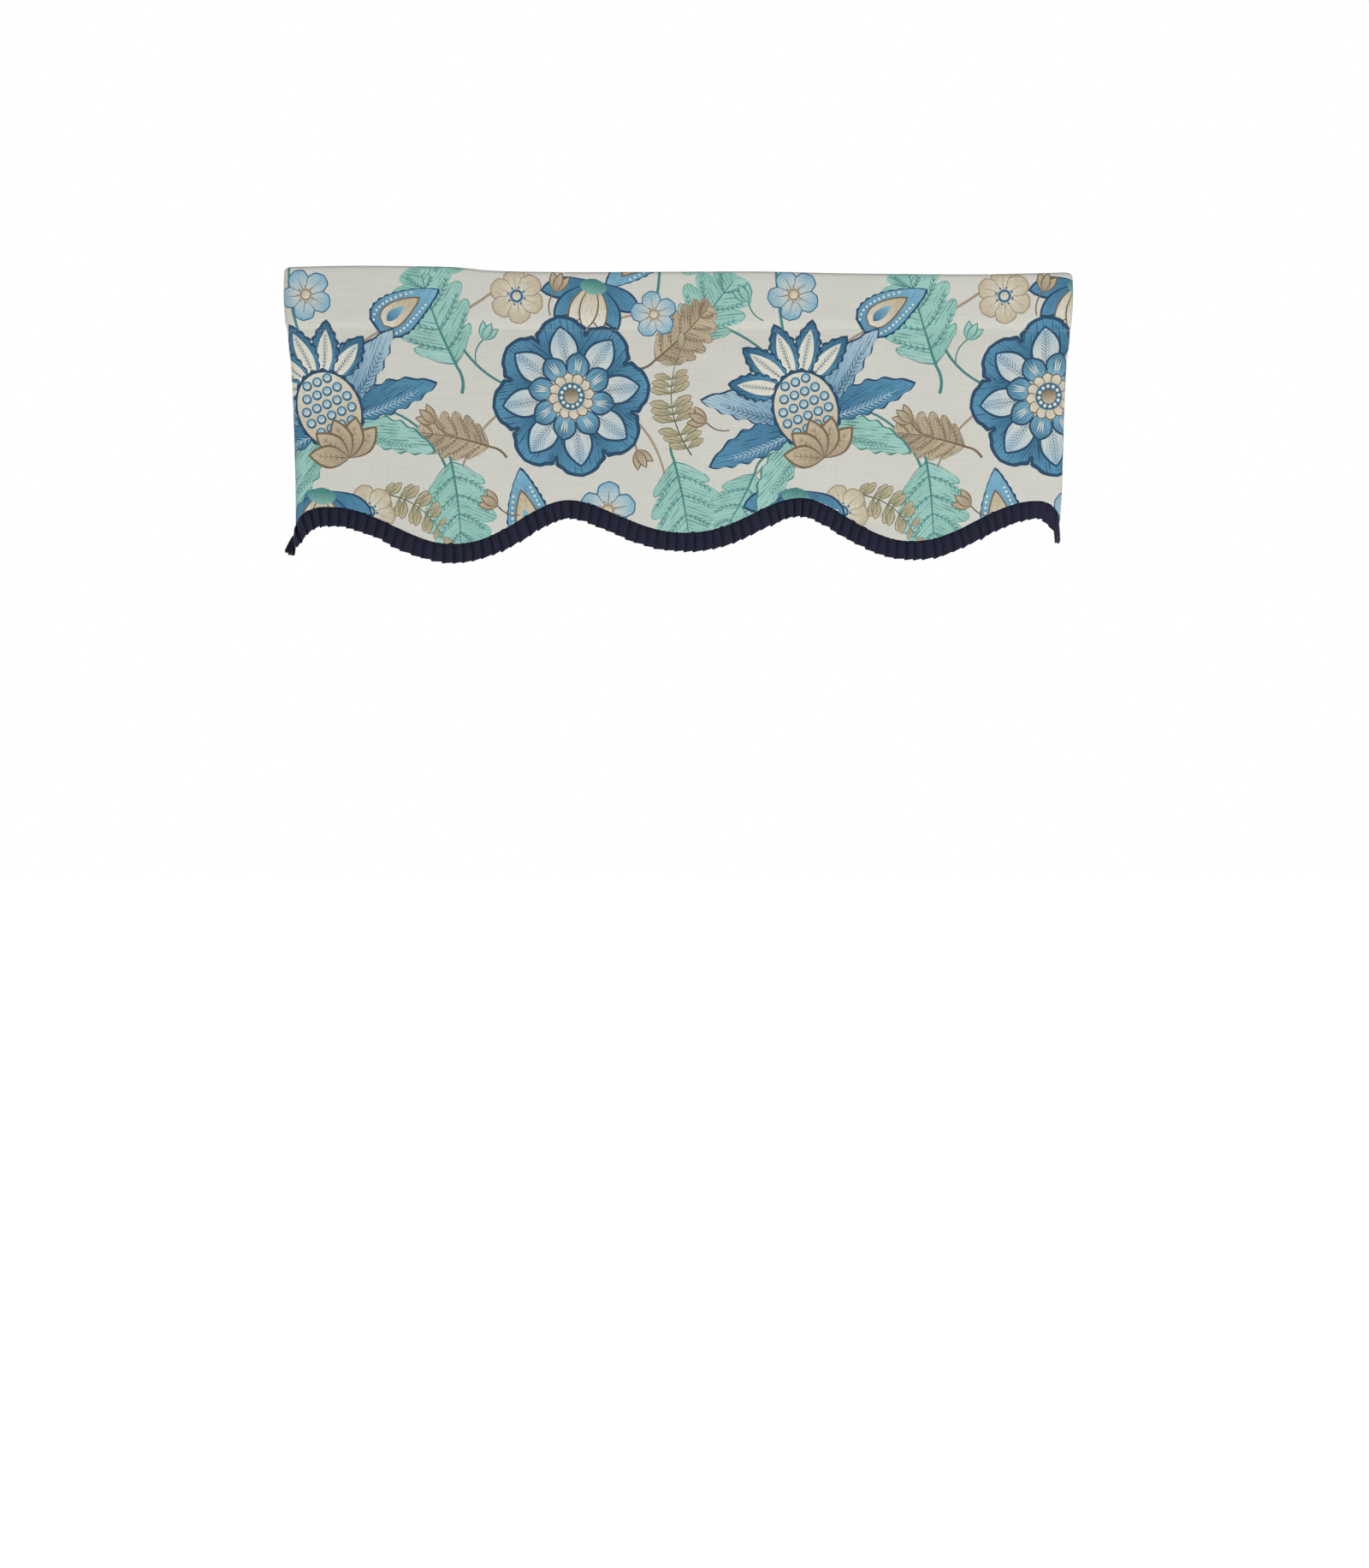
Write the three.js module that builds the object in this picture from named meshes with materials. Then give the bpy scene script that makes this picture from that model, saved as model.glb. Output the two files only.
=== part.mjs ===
// A window valance: a printed cloth panel with returns at both ends, hung by a rod pocket along its
// top, with a wave-shaped lower edge trimmed by a knife-pleated ruffle.
//
// Millimetres, +Z up. The origin is the middle of the pocket's top fold. X runs along the window,
// the front faces -Y and the wall is on the +Y side.
//
// The cloth, its pocket and the ruffle each run in one length from wall edge to wall edge. Their
// solids are cut at the corners, so that none of them bends round the space it encloses.
//
// Every piece is a sheet laid out in three running measures. "along" is the distance along the
// cloth's width from its middle, round both corners to the wall edges. "z" is the height. "inward"
// is the depth behind the middle of the front layer, square to the cloth.

import * as THREE from 'three';

// ---- driving dimensions -------------------------------------------------------------------------

const CLOTH_THICKNESS = 1.5;
const SEWN_GAP = 0.4; // left between two pieces that are sewn together
const CORNER_GAP = 0.6; // left where a length is cut at a corner

const HALF_WIDTH = 560; // middle to a side, along the rod
const RETURN_DEPTH = 76; // front layer to the wall
const CORNER_RADIUS = 14;

const POCKET_ROOM = 11; // front layer to back layer, middle to middle
const SEAM_Z = -84.5; // the stitched line at the pocket's foot
const SEAM_PINCH = 2.2; // how far the stitching draws the front layer in
const SEAM_ALLOWANCE = 7; // turned edge that stands below the stitching, behind the panel
const FOLD_OVERLAP = 12; // degrees that the panel runs past the top of the fold

const RUFFLE_LENGTH = 28.5; // from the hem's edge down a pleat
const RUFFLE_TUCK = 7; // heading of the ruffle, sewn behind the panel
const RUFFLE_THICKNESS = 1.7;
const PLEAT_PITCH = 13.8; // along a level stretch of the hem
const PLEAT_UNEVENNESS = 0.13; // share of the pitch
const PLEAT_RELIEF = 2.6; // a fold stands this far in front of the next pleat's root
const RELIEF_UNEVENNESS = 0.25; // share of the relief
const PLEAT_LEAN = 0.5; // 0 hangs straight down, 1 stands square to the hem
const PLEAT_CLOSING = 0.6; // how much closer the pleats are set where the hem runs steeply
const EDGE_UNEVENNESS = 0.7; // pleats end this much higher or lower than each other
const EDGE_LIFT = 0.5; // a pleat's edge rises this much from its fold to its root

const FRONT_STEP = 16; // along between two columns of the panel on the straight front
const CORNER_STEPS = 7;
const RETURN_STEPS = 4;

// ---- shape tables -------------------------------------------------------------------------------

// The top edge isn't level: it rides on the overlap of a two-part rod, higher at the left.
const TOP_EDGE = [
  { along: -630, z: 6.0 },
  { along: -560, z: 6.6 },
  { along: -470, z: 8.4 },
  { along: -385, z: 7.9 },
  { along: -318, z: 6.4 },
  { along: -268, z: 1.7 },
  { along: -225, z: 0.2 },
  { along: -140, z: -0.6 },
  { along: 0, z: 0.0 },
  { along: 120, z: 0.2 },
  { along: 240, z: -2.4 },
  { along: 420, z: -3.8 },
  { along: 500, z: -2.4 },
  { along: 560, z: -1.0 },
  { along: 630, z: -1.6 },
];

// Below the pocket nothing holds the corners out, so the sides draw in.
const SIDES = [
  { z: 9, left: 561.0, right: 560.0 },
  { z: -34, left: 562.0, right: 561.6 },
  { z: -70, left: 559.8, right: 559.6 },
  { z: -92, left: 557.8, right: 558.6 },
  { z: -110, left: 555.1, right: 555.7 },
  { z: -128, left: 552.7, right: 553.2 },
  { z: -187, left: 549.4, right: 550.2 },
  { z: -255, left: 547.2, right: 548.1 },
  { z: -311, left: 545.9, right: 546.6 },
  { z: -351, left: 545.7, right: 544.1 },
  { z: -410, left: 546.1, right: 543.6 },
];

// The lower edge, a row for each crest, trough and end. lean above 1 holds a wave near its row's
// own height for longer on the way to the next row.
const HEM = [
  { along: -632, z: -363, lean: 1 },
  { along: -578, z: -370, lean: 0.66 },
  { along: -517, z: -333.8, lean: 1.12 },
  { along: -332, z: -387, lean: 1.17 },
  { along: -159, z: -324.3, lean: 0.86 },
  { along: 7, z: -371, lean: 1.2 },
  { along: 180, z: -321.2, lean: 0.86 },
  { along: 340, z: -383.2, lean: 1.06 },
  { along: 522, z: -325.4, lean: 1.27 },
  { along: 577, z: -355, lean: 1 },
  { along: 632, z: -351, lean: 1 },
];

// Soft swings of the hanging cloth, full at the hem and gone at the pocket. forward is towards
// the room.
const SWINGS = [
  { along: -500, width: 42, forward: -2.6 },
  { along: -340, width: 70, forward: 3.0 },
  { along: -175, width: 55, forward: -1.6 },
  { along: 10, width: 75, forward: 2.2 },
  { along: 185, width: 50, forward: -1.8 },
  { along: 345, width: 70, forward: 2.8 },
  { along: 492, width: 45, forward: -2.2 },
];

// How far a return's wall edge stands outside its corner at the hem.
const RETURN_FLARE = { left: 9, right: 4 };

// How the ruffle stands on its way round: relief scales the pleats, which die out on the last
// stretch before the right corner and fan out on the left return, kick is how far it swings outward
// for each millimetre down a pleat, and length scales the pleats' length.
const RUFFLE_STANDS = [
  { along: -632, relief: 1.6, kick: 0.46, length: 1.0 },
  { along: -604, relief: 1.6, kick: 0.34, length: 1.0 },
  { along: -577, relief: 1.4, kick: 0.1, length: 1.0 },
  { along: -552, relief: 1.1, kick: 0.0, length: 1.0 },
  { along: -500, relief: 1.0, kick: 0.0, length: 1.0 },
  { along: 498, relief: 1.0, kick: 0.0, length: 1.0 },
  { along: 522, relief: 0.12, kick: 0.0, length: 0.97 },
  { along: 566, relief: 0.12, kick: 0.0, length: 0.95 },
  { along: 592, relief: 0.8, kick: 0.03, length: 1.0 },
  { along: 632, relief: 0.8, kick: 0.05, length: 1.0 },
];

// ---- reading the tables -------------------------------------------------------------------------

const { clamp, degToRad, inverseLerp, lerp, smoothstep } = THREE.MathUtils;

// The row before a place, and the share of the way from it to the next.
function bracket(rows, key, at) {
  const rising = rows[rows.length - 1][key] > rows[0][key];
  let index = 0;
  while (index < rows.length - 2 && (rising ? at > rows[index + 1][key] : at < rows[index + 1][key])) {
    index += 1;
  }
  const share = clamp(inverseLerp(rows[index][key], rows[index + 1][key], at), 0, 1);
  return { index, share };
}

// A smooth curve through a column of a table.
function smoothColumn(rows, key, column, at) {
  const { index, share } = bracket(rows, key, at);
  const slopeAt = (row) => {
    const before = rows[Math.max(row - 1, 0)];
    const after = rows[Math.min(row + 1, rows.length - 1)];
    return (after[column] - before[column]) / (after[key] - before[key]);
  };
  const from = rows[index];
  const to = rows[index + 1];
  const span = to[key] - from[key];
  const s2 = share * share;
  const s3 = s2 * share;
  return (
    (2 * s3 - 3 * s2 + 1) * from[column] +
    (s3 - 2 * s2 + share) * span * slopeAt(index) +
    (3 * s2 - 2 * s3) * to[column] +
    (s3 - s2) * span * slopeAt(index + 1)
  );
}

const topZ = (along) => smoothColumn(TOP_EDGE, 'along', 'z', along);

// Half cosine waves from row to row.
function hemZ(along) {
  const { index, share } = bracket(HEM, 'along', along);
  const wave = (1 - Math.cos(Math.PI * share ** HEM[index].lean)) / 2;
  return lerp(HEM[index].z, HEM[index + 1].z, wave);
}

// A straight line from row to row.
function evenColumn(rows, key, column, at) {
  const { index, share } = bracket(rows, key, at);
  return lerp(rows[index][column], rows[index + 1][column], share);
}

// ---- the hanging surface ------------------------------------------------------------------------

const STRAIGHT = HALF_WIDTH - CORNER_RADIUS; // half of the front between its corners
const CORNER_LENGTH = (Math.PI / 2) * CORNER_RADIUS;
const RETURN_LENGTH = RETURN_DEPTH - CORNER_RADIUS;
const HALF_LENGTH = STRAIGHT + CORNER_LENGTH + RETURN_LENGTH;
const FRONT_Y = -POCKET_ROOM / 2; // the pocket's middle plane is y = 0
const HEM_LEVEL = -355; // the swings and flares are given at this height

// 0 at the pocket's foot and above, 1 at the hem.
const hangShare = (z) => clamp(inverseLerp(SEAM_Z - SEAM_ALLOWANCE, HEM_LEVEL, z), 0, 1.1);
const SWING_GROWTH = 1.4; // powers: the swing and the flare start gently below the pocket
const FLARE_GROWTH = 1.5;
const FLARE_BEND = 1.3; // power: the flare opens towards the wall edge

function swing(along, z) {
  let forward = 0;
  for (const row of SWINGS) {
    forward += row.forward * Math.exp(-(((along - row.along) / row.width) ** 2));
  }
  return forward * hangShare(z) ** SWING_GROWTH;
}

// A point in the middle of the front layer.
function layerPoint(along, z) {
  const side = Math.sign(along) || 1;
  const name = side < 0 ? 'left' : 'right';
  const halfWidth = smoothColumn(SIDES, 'z', name, z);
  const straight = halfWidth - CORNER_RADIUS;
  const distance = Math.abs(along);
  if (distance <= STRAIGHT) {
    return new THREE.Vector3((side * straight * distance) / STRAIGHT, FRONT_Y - swing(along, z), z);
  }
  if (distance <= STRAIGHT + CORNER_LENGTH) {
    const turn = (distance - STRAIGHT) / CORNER_RADIUS;
    return new THREE.Vector3(
      side * (straight + CORNER_RADIUS * Math.sin(turn)),
      FRONT_Y - swing(along, z) + CORNER_RADIUS * (1 - Math.cos(turn)),
      z,
    );
  }
  const back = distance - STRAIGHT - CORNER_LENGTH;
  const opened = hangShare(z) ** FLARE_GROWTH * (back / RETURN_LENGTH) ** FLARE_BEND;
  const flare = RETURN_FLARE[name] * opened;
  return new THREE.Vector3(side * (halfWidth + flare), FRONT_Y - swing(along, z) + CORNER_RADIUS + back, z);
}

// The level direction square to the front layer, pointing to the inside.
function inwardAt(along, z) {
  const reach = 0.5;
  const before = layerPoint(Math.max(along - reach, -HALF_LENGTH), z);
  const after = layerPoint(Math.min(along + reach, HALF_LENGTH), z);
  const run = after.sub(before).normalize();
  return new THREE.Vector3(-run.y, run.x, 0);
}

function place(along, z, inward) {
  return layerPoint(along, z).addScaledVector(inwardAt(along, z), inward);
}

// ---- closed sheets ------------------------------------------------------------------------------

// Offsets a section's middle line by half a thickness each way and returns the ring round it: along
// the section on its right-hand side, then back on its left. A section point is { inward, z }, and
// a section runs so that its right-hand side is the outside.
function thicken(section, thickness) {
  const middle = section.map((point) => new THREE.Vector2(point.inward, point.z));
  const outside = [];
  const inside = [];
  middle.forEach((point, index) => {
    const before = middle[Math.max(index - 1, 0)];
    const after = middle[Math.min(index + 1, middle.length - 1)];
    const run = after.clone().sub(before).normalize();
    const outward = new THREE.Vector2(run.y, -run.x).multiplyScalar(thickness / 2);
    outside.push(point.clone().add(outward));
    inside.push(point.clone().sub(outward));
  });
  return [...outside, ...inside.reverse()];
}

// Joins rings of equal length, in order of growing along, and closes both ends.
function loftRings(rings) {
  const size = rings[0].length;
  const positions = rings.flat().flatMap((point) => [point.x, point.y, point.z]);
  const faces = [];
  const quad = (a, b, c, d) => faces.push(a, b, c, a, c, d);
  for (let ring = 0; ring < rings.length - 1; ring += 1) {
    for (let at = 0; at < size; at += 1) {
      const next = (at + 1) % size;
      const here = ring * size;
      const there = here + size;
      quad(here + at, here + next, there + next, there + at);
    }
  }
  const last = (rings.length - 1) * size;
  for (let at = 0; at < size / 2 - 1; at += 1) {
    const across = size - 1 - at;
    quad(at, across, across - 1, at + 1);
    quad(last + at, last + at + 1, last + across - 1, last + across);
  }
  const geometry = new THREE.BufferGeometry();
  geometry.setAttribute('position', new THREE.Float32BufferAttribute(positions, 3));
  geometry.setIndex(faces);
  geometry.computeVertexNormals();
  return geometry;
}

function piece(name, rings, finish) {
  const mesh = new THREE.Mesh(loftRings(rings), new THREE.MeshStandardMaterial(finish));
  mesh.name = name;
  return mesh;
}

// The three spans of every length. side is -1 on the left return, 1 on the right one.
const SPANS = [
  { name: 'left_return', side: -1 },
  { name: 'front', side: 0 },
  { name: 'right_return', side: 1 },
];

function evenSteps(from, to, steps) {
  return Array.from({ length: steps + 1 }, (_, step) => lerp(from, to, step / steps));
}

// Where the panel and the pocket have their columns: even on the front, closer round the corners.
function panelColumns(side) {
  if (side === 0) {
    const end = STRAIGHT - CORNER_GAP / 2;
    return evenSteps(-end, end, Math.round((2 * STRAIGHT) / FRONT_STEP));
  }
  const bendEnd = STRAIGHT + CORNER_LENGTH;
  const columns = [
    ...evenSteps(STRAIGHT + CORNER_GAP / 2, bendEnd, CORNER_STEPS),
    ...evenSteps(bendEnd, HALF_LENGTH, RETURN_STEPS).slice(1),
  ];
  return columns.map((along) => side * along).sort((a, b) => a - b);
}

// ---- panel and pocket ---------------------------------------------------------------------------

const FOLD_RADIUS = POCKET_ROOM / 2;
const FOLD_END = 7; // degrees of the short step that squares off an end on the fold

// A point of the top fold. turn is 0 at its top, 90 at the front layer, -90 at the back layer.
function foldPoint(along, turn) {
  const centreZ = topZ(along) - CLOTH_THICKNESS / 2 - FOLD_RADIUS;
  return {
    inward: FOLD_RADIUS * (1 - Math.sin(degToRad(turn))),
    z: centreZ + FOLD_RADIUS * Math.cos(degToRad(turn)),
  };
}

// The stitching pulls the front layer in, and it eases out again above and below. The back layer
// comes forward to it over a longer stretch.
const PINCH_ABOVE = 15;
const PINCH_BELOW = 26;
const HANG_BACK = 0.8; // the cloth below the pocket hangs this much behind the band

function frontInward(z) {
  if (z >= SEAM_Z) {
    return SEAM_PINCH * (1 - smoothstep(z, SEAM_Z, SEAM_Z + PINCH_ABOVE));
  }
  return lerp(HANG_BACK, SEAM_PINCH, smoothstep(z, SEAM_Z - PINCH_BELOW, SEAM_Z));
}

const BAND_ROWS = [0.5]; // shares of the way from the fold to the seam's pinch
const PINCH_ROWS = [PINCH_ABOVE, 6, 0, -8, -PINCH_BELOW]; // heights above the seam
const SKIRT_ROWS = [0.22, 0.44, 0.66, 0.86, 1]; // shares of the way from there to the hem

function panelSection(along) {
  const turns = [-FOLD_OVERLAP, -FOLD_OVERLAP + FOLD_END, 22, 55, 90];
  const section = turns.map((turn) => foldPoint(along, turn));
  const bandTop = section[section.length - 1].z;
  const heights = BAND_ROWS.map((share) => lerp(bandTop, SEAM_Z + PINCH_ABOVE, share));
  heights.push(...PINCH_ROWS.map((above) => SEAM_Z + above));
  heights.push(...SKIRT_ROWS.map((share) => lerp(SEAM_Z - PINCH_BELOW, hemZ(along), share)));
  section.push(...heights.map((z) => ({ inward: frontInward(z), z })));
  return section;
}

// The back layer's heights above the seam, and how far it has come forward there.
const BACK_ROWS = [
  { above: 24, closed: 0 },
  { above: 10, closed: 0.42 },
  { above: 1.5, closed: 1 },
  { above: -SEAM_ALLOWANCE, closed: 1 },
];

function pocketSection(along) {
  const gapTurn = THREE.MathUtils.radToDeg(SEWN_GAP / (FOLD_RADIUS - CLOTH_THICKNESS / 2));
  const start = -FOLD_OVERLAP - gapTurn;
  const section = [start, start - FOLD_END, -55, -90].map((turn) => foldPoint(along, turn));
  const sewnInward = SEAM_PINCH + CLOTH_THICKNESS + SEWN_GAP;
  section.push(
    ...BACK_ROWS.map(({ above, closed }) => ({
      inward: lerp(POCKET_ROOM, sewnInward, closed),
      z: SEAM_Z + above,
    })),
  );
  return section.reverse();
}

// ---- ruffle -------------------------------------------------------------------------------------

// A repeatable small number between -1 and 1 for each index.
const HASH_TURN = 12.9898;
const HASH_SCALE = 43758.5453;
const RELIEF_SEED = 500;
const EDGE_SEED = 900;

function unevenness(index) {
  return 2 * THREE.MathUtils.euclideanModulo(Math.sin(index * HASH_TURN) * HASH_SCALE, 1) - 1;
}

// Pleat edges from the left wall edge to the right one. Where the hem runs steeply a pleat covers
// less of the width.
function pleatEdges() {
  const edges = [-HALF_LENGTH];
  while (edges[edges.length - 1] < HALF_LENGTH - PLEAT_PITCH / 2) {
    const here = edges[edges.length - 1];
    const rise = hemSlope(here + PLEAT_PITCH / 2);
    const pitch = PLEAT_PITCH * (1 + PLEAT_UNEVENNESS * unevenness(edges.length));
    edges.push(here + pitch / Math.hypot(1, PLEAT_CLOSING * rise));
  }
  edges[edges.length - 1] = HALF_LENGTH;
  return edges;
}

function hemSlope(along) {
  const reach = 2; // to each side
  return (hemZ(along + reach) - hemZ(along - reach)) / (2 * reach);
}

// Rows down a pleat: the distance below the hem's edge, the resting depth of the middle line, and
// how far the pleats have opened there.
const RUFFLE_ROWS = [
  { down: -RUFFLE_TUCK, inward: 2.1, open: 0 },
  { down: 0.6, inward: 2.1, open: 0 },
  { down: 7, inward: 1.2, open: 0.75 },
  { down: RUFFLE_LENGTH, inward: 0.6, open: 1 },
];

function ruffleRing(column) {
  const { along, height, drop } = column;
  const lean = PLEAT_LEAN * hemSlope(along);
  const steep = Math.hypot(1, lean);
  const relief = height * evenColumn(RUFFLE_STANDS, 'along', 'relief', along);
  const kick = evenColumn(RUFFLE_STANDS, 'along', 'kick', along);
  const length = evenColumn(RUFFLE_STANDS, 'along', 'length', along);
  const sewn = frontInward(HEM_LEVEL);
  const outside = [];
  const inside = [];
  for (const row of RUFFLE_ROWS) {
    const down = row.down * (row.open ? length : 1) + row.open * drop;
    const at = clamp(along + (row.open * down * lean) / steep, -HALF_LENGTH, HALF_LENGTH);
    const z = hemZ(along) - down / steep;
    const inward = sewn + row.inward - row.open * relief - Math.max(down, 0) * kick;
    outside.push(place(at, z, inward - RUFFLE_THICKNESS / 2));
    inside.push(place(at, z, inward + RUFFLE_THICKNESS / 2));
  }
  return [...outside, ...inside.reverse()];
}

// Each pleat's face climbs from its root to the fold at its right, then drops behind it.
const PLEAT_FACE = [
  { across: 0, stand: 0 },
  { across: 0.52, stand: 0.78 },
  { across: 0.92, stand: 1 },
];

function ruffleColumns() {
  const columns = [];
  const edges = pleatEdges();
  for (let pleat = 0; pleat < edges.length - 1; pleat += 1) {
    const width = edges[pleat + 1] - edges[pleat];
    const height = PLEAT_RELIEF * (1 + RELIEF_UNEVENNESS * unevenness(pleat + RELIEF_SEED));
    const level = EDGE_UNEVENNESS * unevenness(pleat + EDGE_SEED);
    for (const { across, stand } of PLEAT_FACE) {
      columns.push({
        along: edges[pleat] + across * width,
        height: stand * height,
        drop: level - EDGE_LIFT * across,
      });
    }
  }
  columns.push({ along: HALF_LENGTH, height: 0, drop: 0 });
  return columns;
}

// The columns of one span. The ruffle is cut at the pleat root nearest to each corner.
function ruffleSpan(side) {
  const columns = ruffleColumns();
  const roots = columns.filter((column) => column.height === 0).map((column) => column.along);
  const rootNear = (place) => roots.reduce((a, b) => (Math.abs(b - place) < Math.abs(a - place) ? b : a));
  const low = side < 0 ? -HALF_LENGTH : rootNear(side === 0 ? -STRAIGHT : STRAIGHT);
  const high = side > 0 ? HALF_LENGTH : rootNear(side === 0 ? STRAIGHT : -STRAIGHT);
  const span = columns.filter(({ along }) => along >= low && along <= high);
  if (side >= 0) {
    span[0].along += CORNER_GAP / 2;
  }
  if (side <= 0) {
    span[span.length - 1].along -= CORNER_GAP / 2;
  }
  return span;
}

// ---- the valance --------------------------------------------------------------------------------

const PRINTED_CLOTH = { color: 0xd0d1c6, roughness: 0.9, metalness: 0 };
const NAVY_COTTON = { color: 0x22253f, roughness: 0.85, metalness: 0 };

function sheetRings(columns, sectionAt) {
  return columns.map((along) =>
    thicken(sectionAt(along), CLOTH_THICKNESS).map((point) => place(along, point.y, point.x)),
  );
}

const valance = new THREE.Group();
valance.name = 'valance';
for (const { name, side } of SPANS) {
  const columns = panelColumns(side);
  valance.add(piece(`${name}_cloth`, sheetRings(columns, panelSection), PRINTED_CLOTH));
  valance.add(piece(`${name}_pocket`, sheetRings(columns, pocketSection), PRINTED_CLOTH));
  valance.add(piece(`${name}_ruffle`, ruffleSpan(side).map(ruffleRing), NAVY_COTTON));
}

export default valance;
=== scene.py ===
"""Dresses the window valance: one printed cloth with its rod pocket, and a pleated navy ruffle.

Sizes are in millimetres and turn into metres where a mesh is made. X runs along the window, the
front faces -Y, the wall is on the +Y side and Z is up.

The cloth is laid out flat in two running measures. "along" is the distance along its width from
the middle, round both corners to the wall edges. "up" is the height on the front layer, and goes
on growing over the top fold and down the pocket's back layer.
"""

from __future__ import annotations

import logging
import math
from dataclasses import dataclass, field
from enum import Enum
from typing import Any, Iterable, Sequence

import bpy
import numpy as np
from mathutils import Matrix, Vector
from mathutils.geometry import delaunay_2d_cdt
from mathutils.kdtree import KDTree


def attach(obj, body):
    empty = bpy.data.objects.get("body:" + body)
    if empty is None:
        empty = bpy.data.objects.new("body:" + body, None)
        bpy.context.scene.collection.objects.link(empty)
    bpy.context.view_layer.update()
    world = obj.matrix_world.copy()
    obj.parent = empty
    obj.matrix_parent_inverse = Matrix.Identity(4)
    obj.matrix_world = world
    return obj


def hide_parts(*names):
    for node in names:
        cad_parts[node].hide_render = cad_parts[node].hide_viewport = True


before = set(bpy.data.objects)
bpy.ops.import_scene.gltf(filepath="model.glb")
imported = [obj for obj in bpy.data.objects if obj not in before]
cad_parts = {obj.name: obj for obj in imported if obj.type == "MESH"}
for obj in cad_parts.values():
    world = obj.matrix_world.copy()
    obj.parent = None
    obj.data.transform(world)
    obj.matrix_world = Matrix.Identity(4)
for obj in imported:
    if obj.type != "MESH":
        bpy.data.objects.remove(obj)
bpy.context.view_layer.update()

log = logging.getLogger("window_valance")

MM = 0.001
Floats = np.ndarray
Spot = Sequence[float]
Colour = tuple[float, float, float]
SPANS = ("front", "left_return", "right_return")
SMOOTH_BELOW = math.radians(50)


# ---- shape tables ----


class Table:
    """Rows of a shape, read along their first column."""

    def __init__(self, columns: Sequence[str], *rows: Sequence[float]) -> None:
        """Keep the rows in growing order of the first column.

        Args:
            columns: the columns' names.
            rows: the rows, each with a number for each column.
        """
        data = np.array(sorted(rows), float)
        self.column = dict(zip(columns, data.T))
        self.key = data[:, 0]

    def bracket(self, at: Floats) -> tuple[Floats, Floats]:
        """Find the row before each place.

        Args:
            at: places along the first column.

        Returns:
            The rows' numbers, and the share of the way to the next row.
        """
        row = np.clip(np.searchsorted(self.key, at, side="right") - 1, 0, len(self.key) - 2)
        share = (at - self.key[row]) / (self.key[row + 1] - self.key[row])
        return row, np.clip(share, 0.0, 1.0)

    def even(self, column: str, at: Floats) -> Floats:
        """Read a column on straight lines from row to row."""
        return np.interp(at, self.key, self.column[column])

    def smooth(self, column: str, at: Floats) -> Floats:
        """Read a column on a smooth curve through its rows.

        Args:
            column: the column's name.
            at: places along the first column.

        Returns:
            The curve's height at each place.
        """
        value = self.column[column]
        before = np.maximum(np.arange(len(value)) - 1, 0)
        after = np.minimum(np.arange(len(value)) + 1, len(value) - 1)
        slope = (value[after] - value[before]) / (self.key[after] - self.key[before])
        row, s = self.bracket(np.asarray(at, float))
        span = self.key[row + 1] - self.key[row]
        s2, s3 = s * s, s * s * s
        return (
            (2 * s3 - 3 * s2 + 1) * value[row]
            + (s3 - 2 * s2 + s) * span * slope[row]
            + (3 * s2 - 2 * s3) * value[row + 1]
            + (s3 - s2) * span * slope[row + 1]
        )


# The top edge rides on the overlap of a two-part rod, higher at the left.
TOP_EDGE = Table(
    ("along", "z"),
    (-630, 6.0), (-560, 6.6), (-470, 8.4), (-385, 7.9), (-318, 6.4), (-268, 1.7), (-225, 0.2),
    (-140, -0.6), (0, 0.0), (120, 0.2), (240, -2.4), (420, -3.8), (500, -2.4), (560, -1.0),
    (630, -1.6),
)
# Below the pocket nothing holds the corners out, so the sides draw in.
SIDES = Table(
    ("z", "left", "right"),
    (9, 561.0, 560.0), (-34, 562.0, 561.6), (-70, 559.8, 559.6), (-92, 557.8, 558.6),
    (-110, 555.1, 555.7), (-128, 552.7, 553.2), (-187, 549.4, 550.2), (-255, 547.2, 548.1),
    (-311, 545.9, 546.6), (-351, 545.7, 544.1), (-410, 546.1, 543.6),
)
# The lower edge. A lean above 1 holds a wave near its row's height for longer.
HEM = Table(
    ("along", "z", "lean"),
    (-632, -363, 1), (-578, -370, 0.66), (-517, -333.8, 1.12), (-332, -387, 1.17),
    (-159, -324.3, 0.86), (7, -371, 1.2), (180, -321.2, 0.86), (340, -383.2, 1.06),
    (522, -325.4, 1.27), (577, -355, 1), (632, -351, 1),
)
# Soft swings of the hanging cloth, full at the hem.
SWINGS = Table(
    ("along", "width", "forward"),
    (-500, 42, -2.6), (-340, 70, 3.0), (-175, 55, -1.6), (10, 75, 2.2), (185, 50, -1.8),
    (345, 70, 2.8), (492, 45, -2.2),
)
# How the back layer comes forward to the seam, by height above it.
BACK_LAYER = Table(("above", "closed"), (40, 0), (24, 0.04), (10, 0.5), (1.5, 1), (-7, 1), (-20, 1))
# How the ruffle stands on its way round.
RUFFLE_STANDS = Table(
    ("along", "relief", "kick", "length"),
    (-632, 1.6, 0.46, 1.0), (-604, 1.6, 0.34, 1.08), (-577, 1.4, 0.08, 1.16),
    (-552, 1.1, 0.0, 1.05), (-500, 1.0, 0.0, 1.0), (498, 1.0, 0.0, 1.0), (522, 0.12, 0.0, 0.97),
    (566, 0.12, 0.0, 0.95), (592, 0.8, 0.03, 1.0), (632, 0.8, 0.05, 1.0),
)
# Down a pleat: the resting depth, and how far the pleats have opened.
RUFFLE_FALL = Table(
    ("down", "inward", "open"),
    (-7, 2.1, 0), (0.6, 2.1, 0.0), (3, 1.75, 0.4), (7, 1.2, 0.75), (16, 0.85, 0.93), (28.5, 0.6, 1),
)


def ease(x: Floats, low: float, high: float) -> Floats:
    """Go from 0 at low to 1 at high, level at both ends."""
    s = np.clip((x - low) / (high - low), 0.0, 1.0)
    return s * s * (3 - 2 * s)


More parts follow.
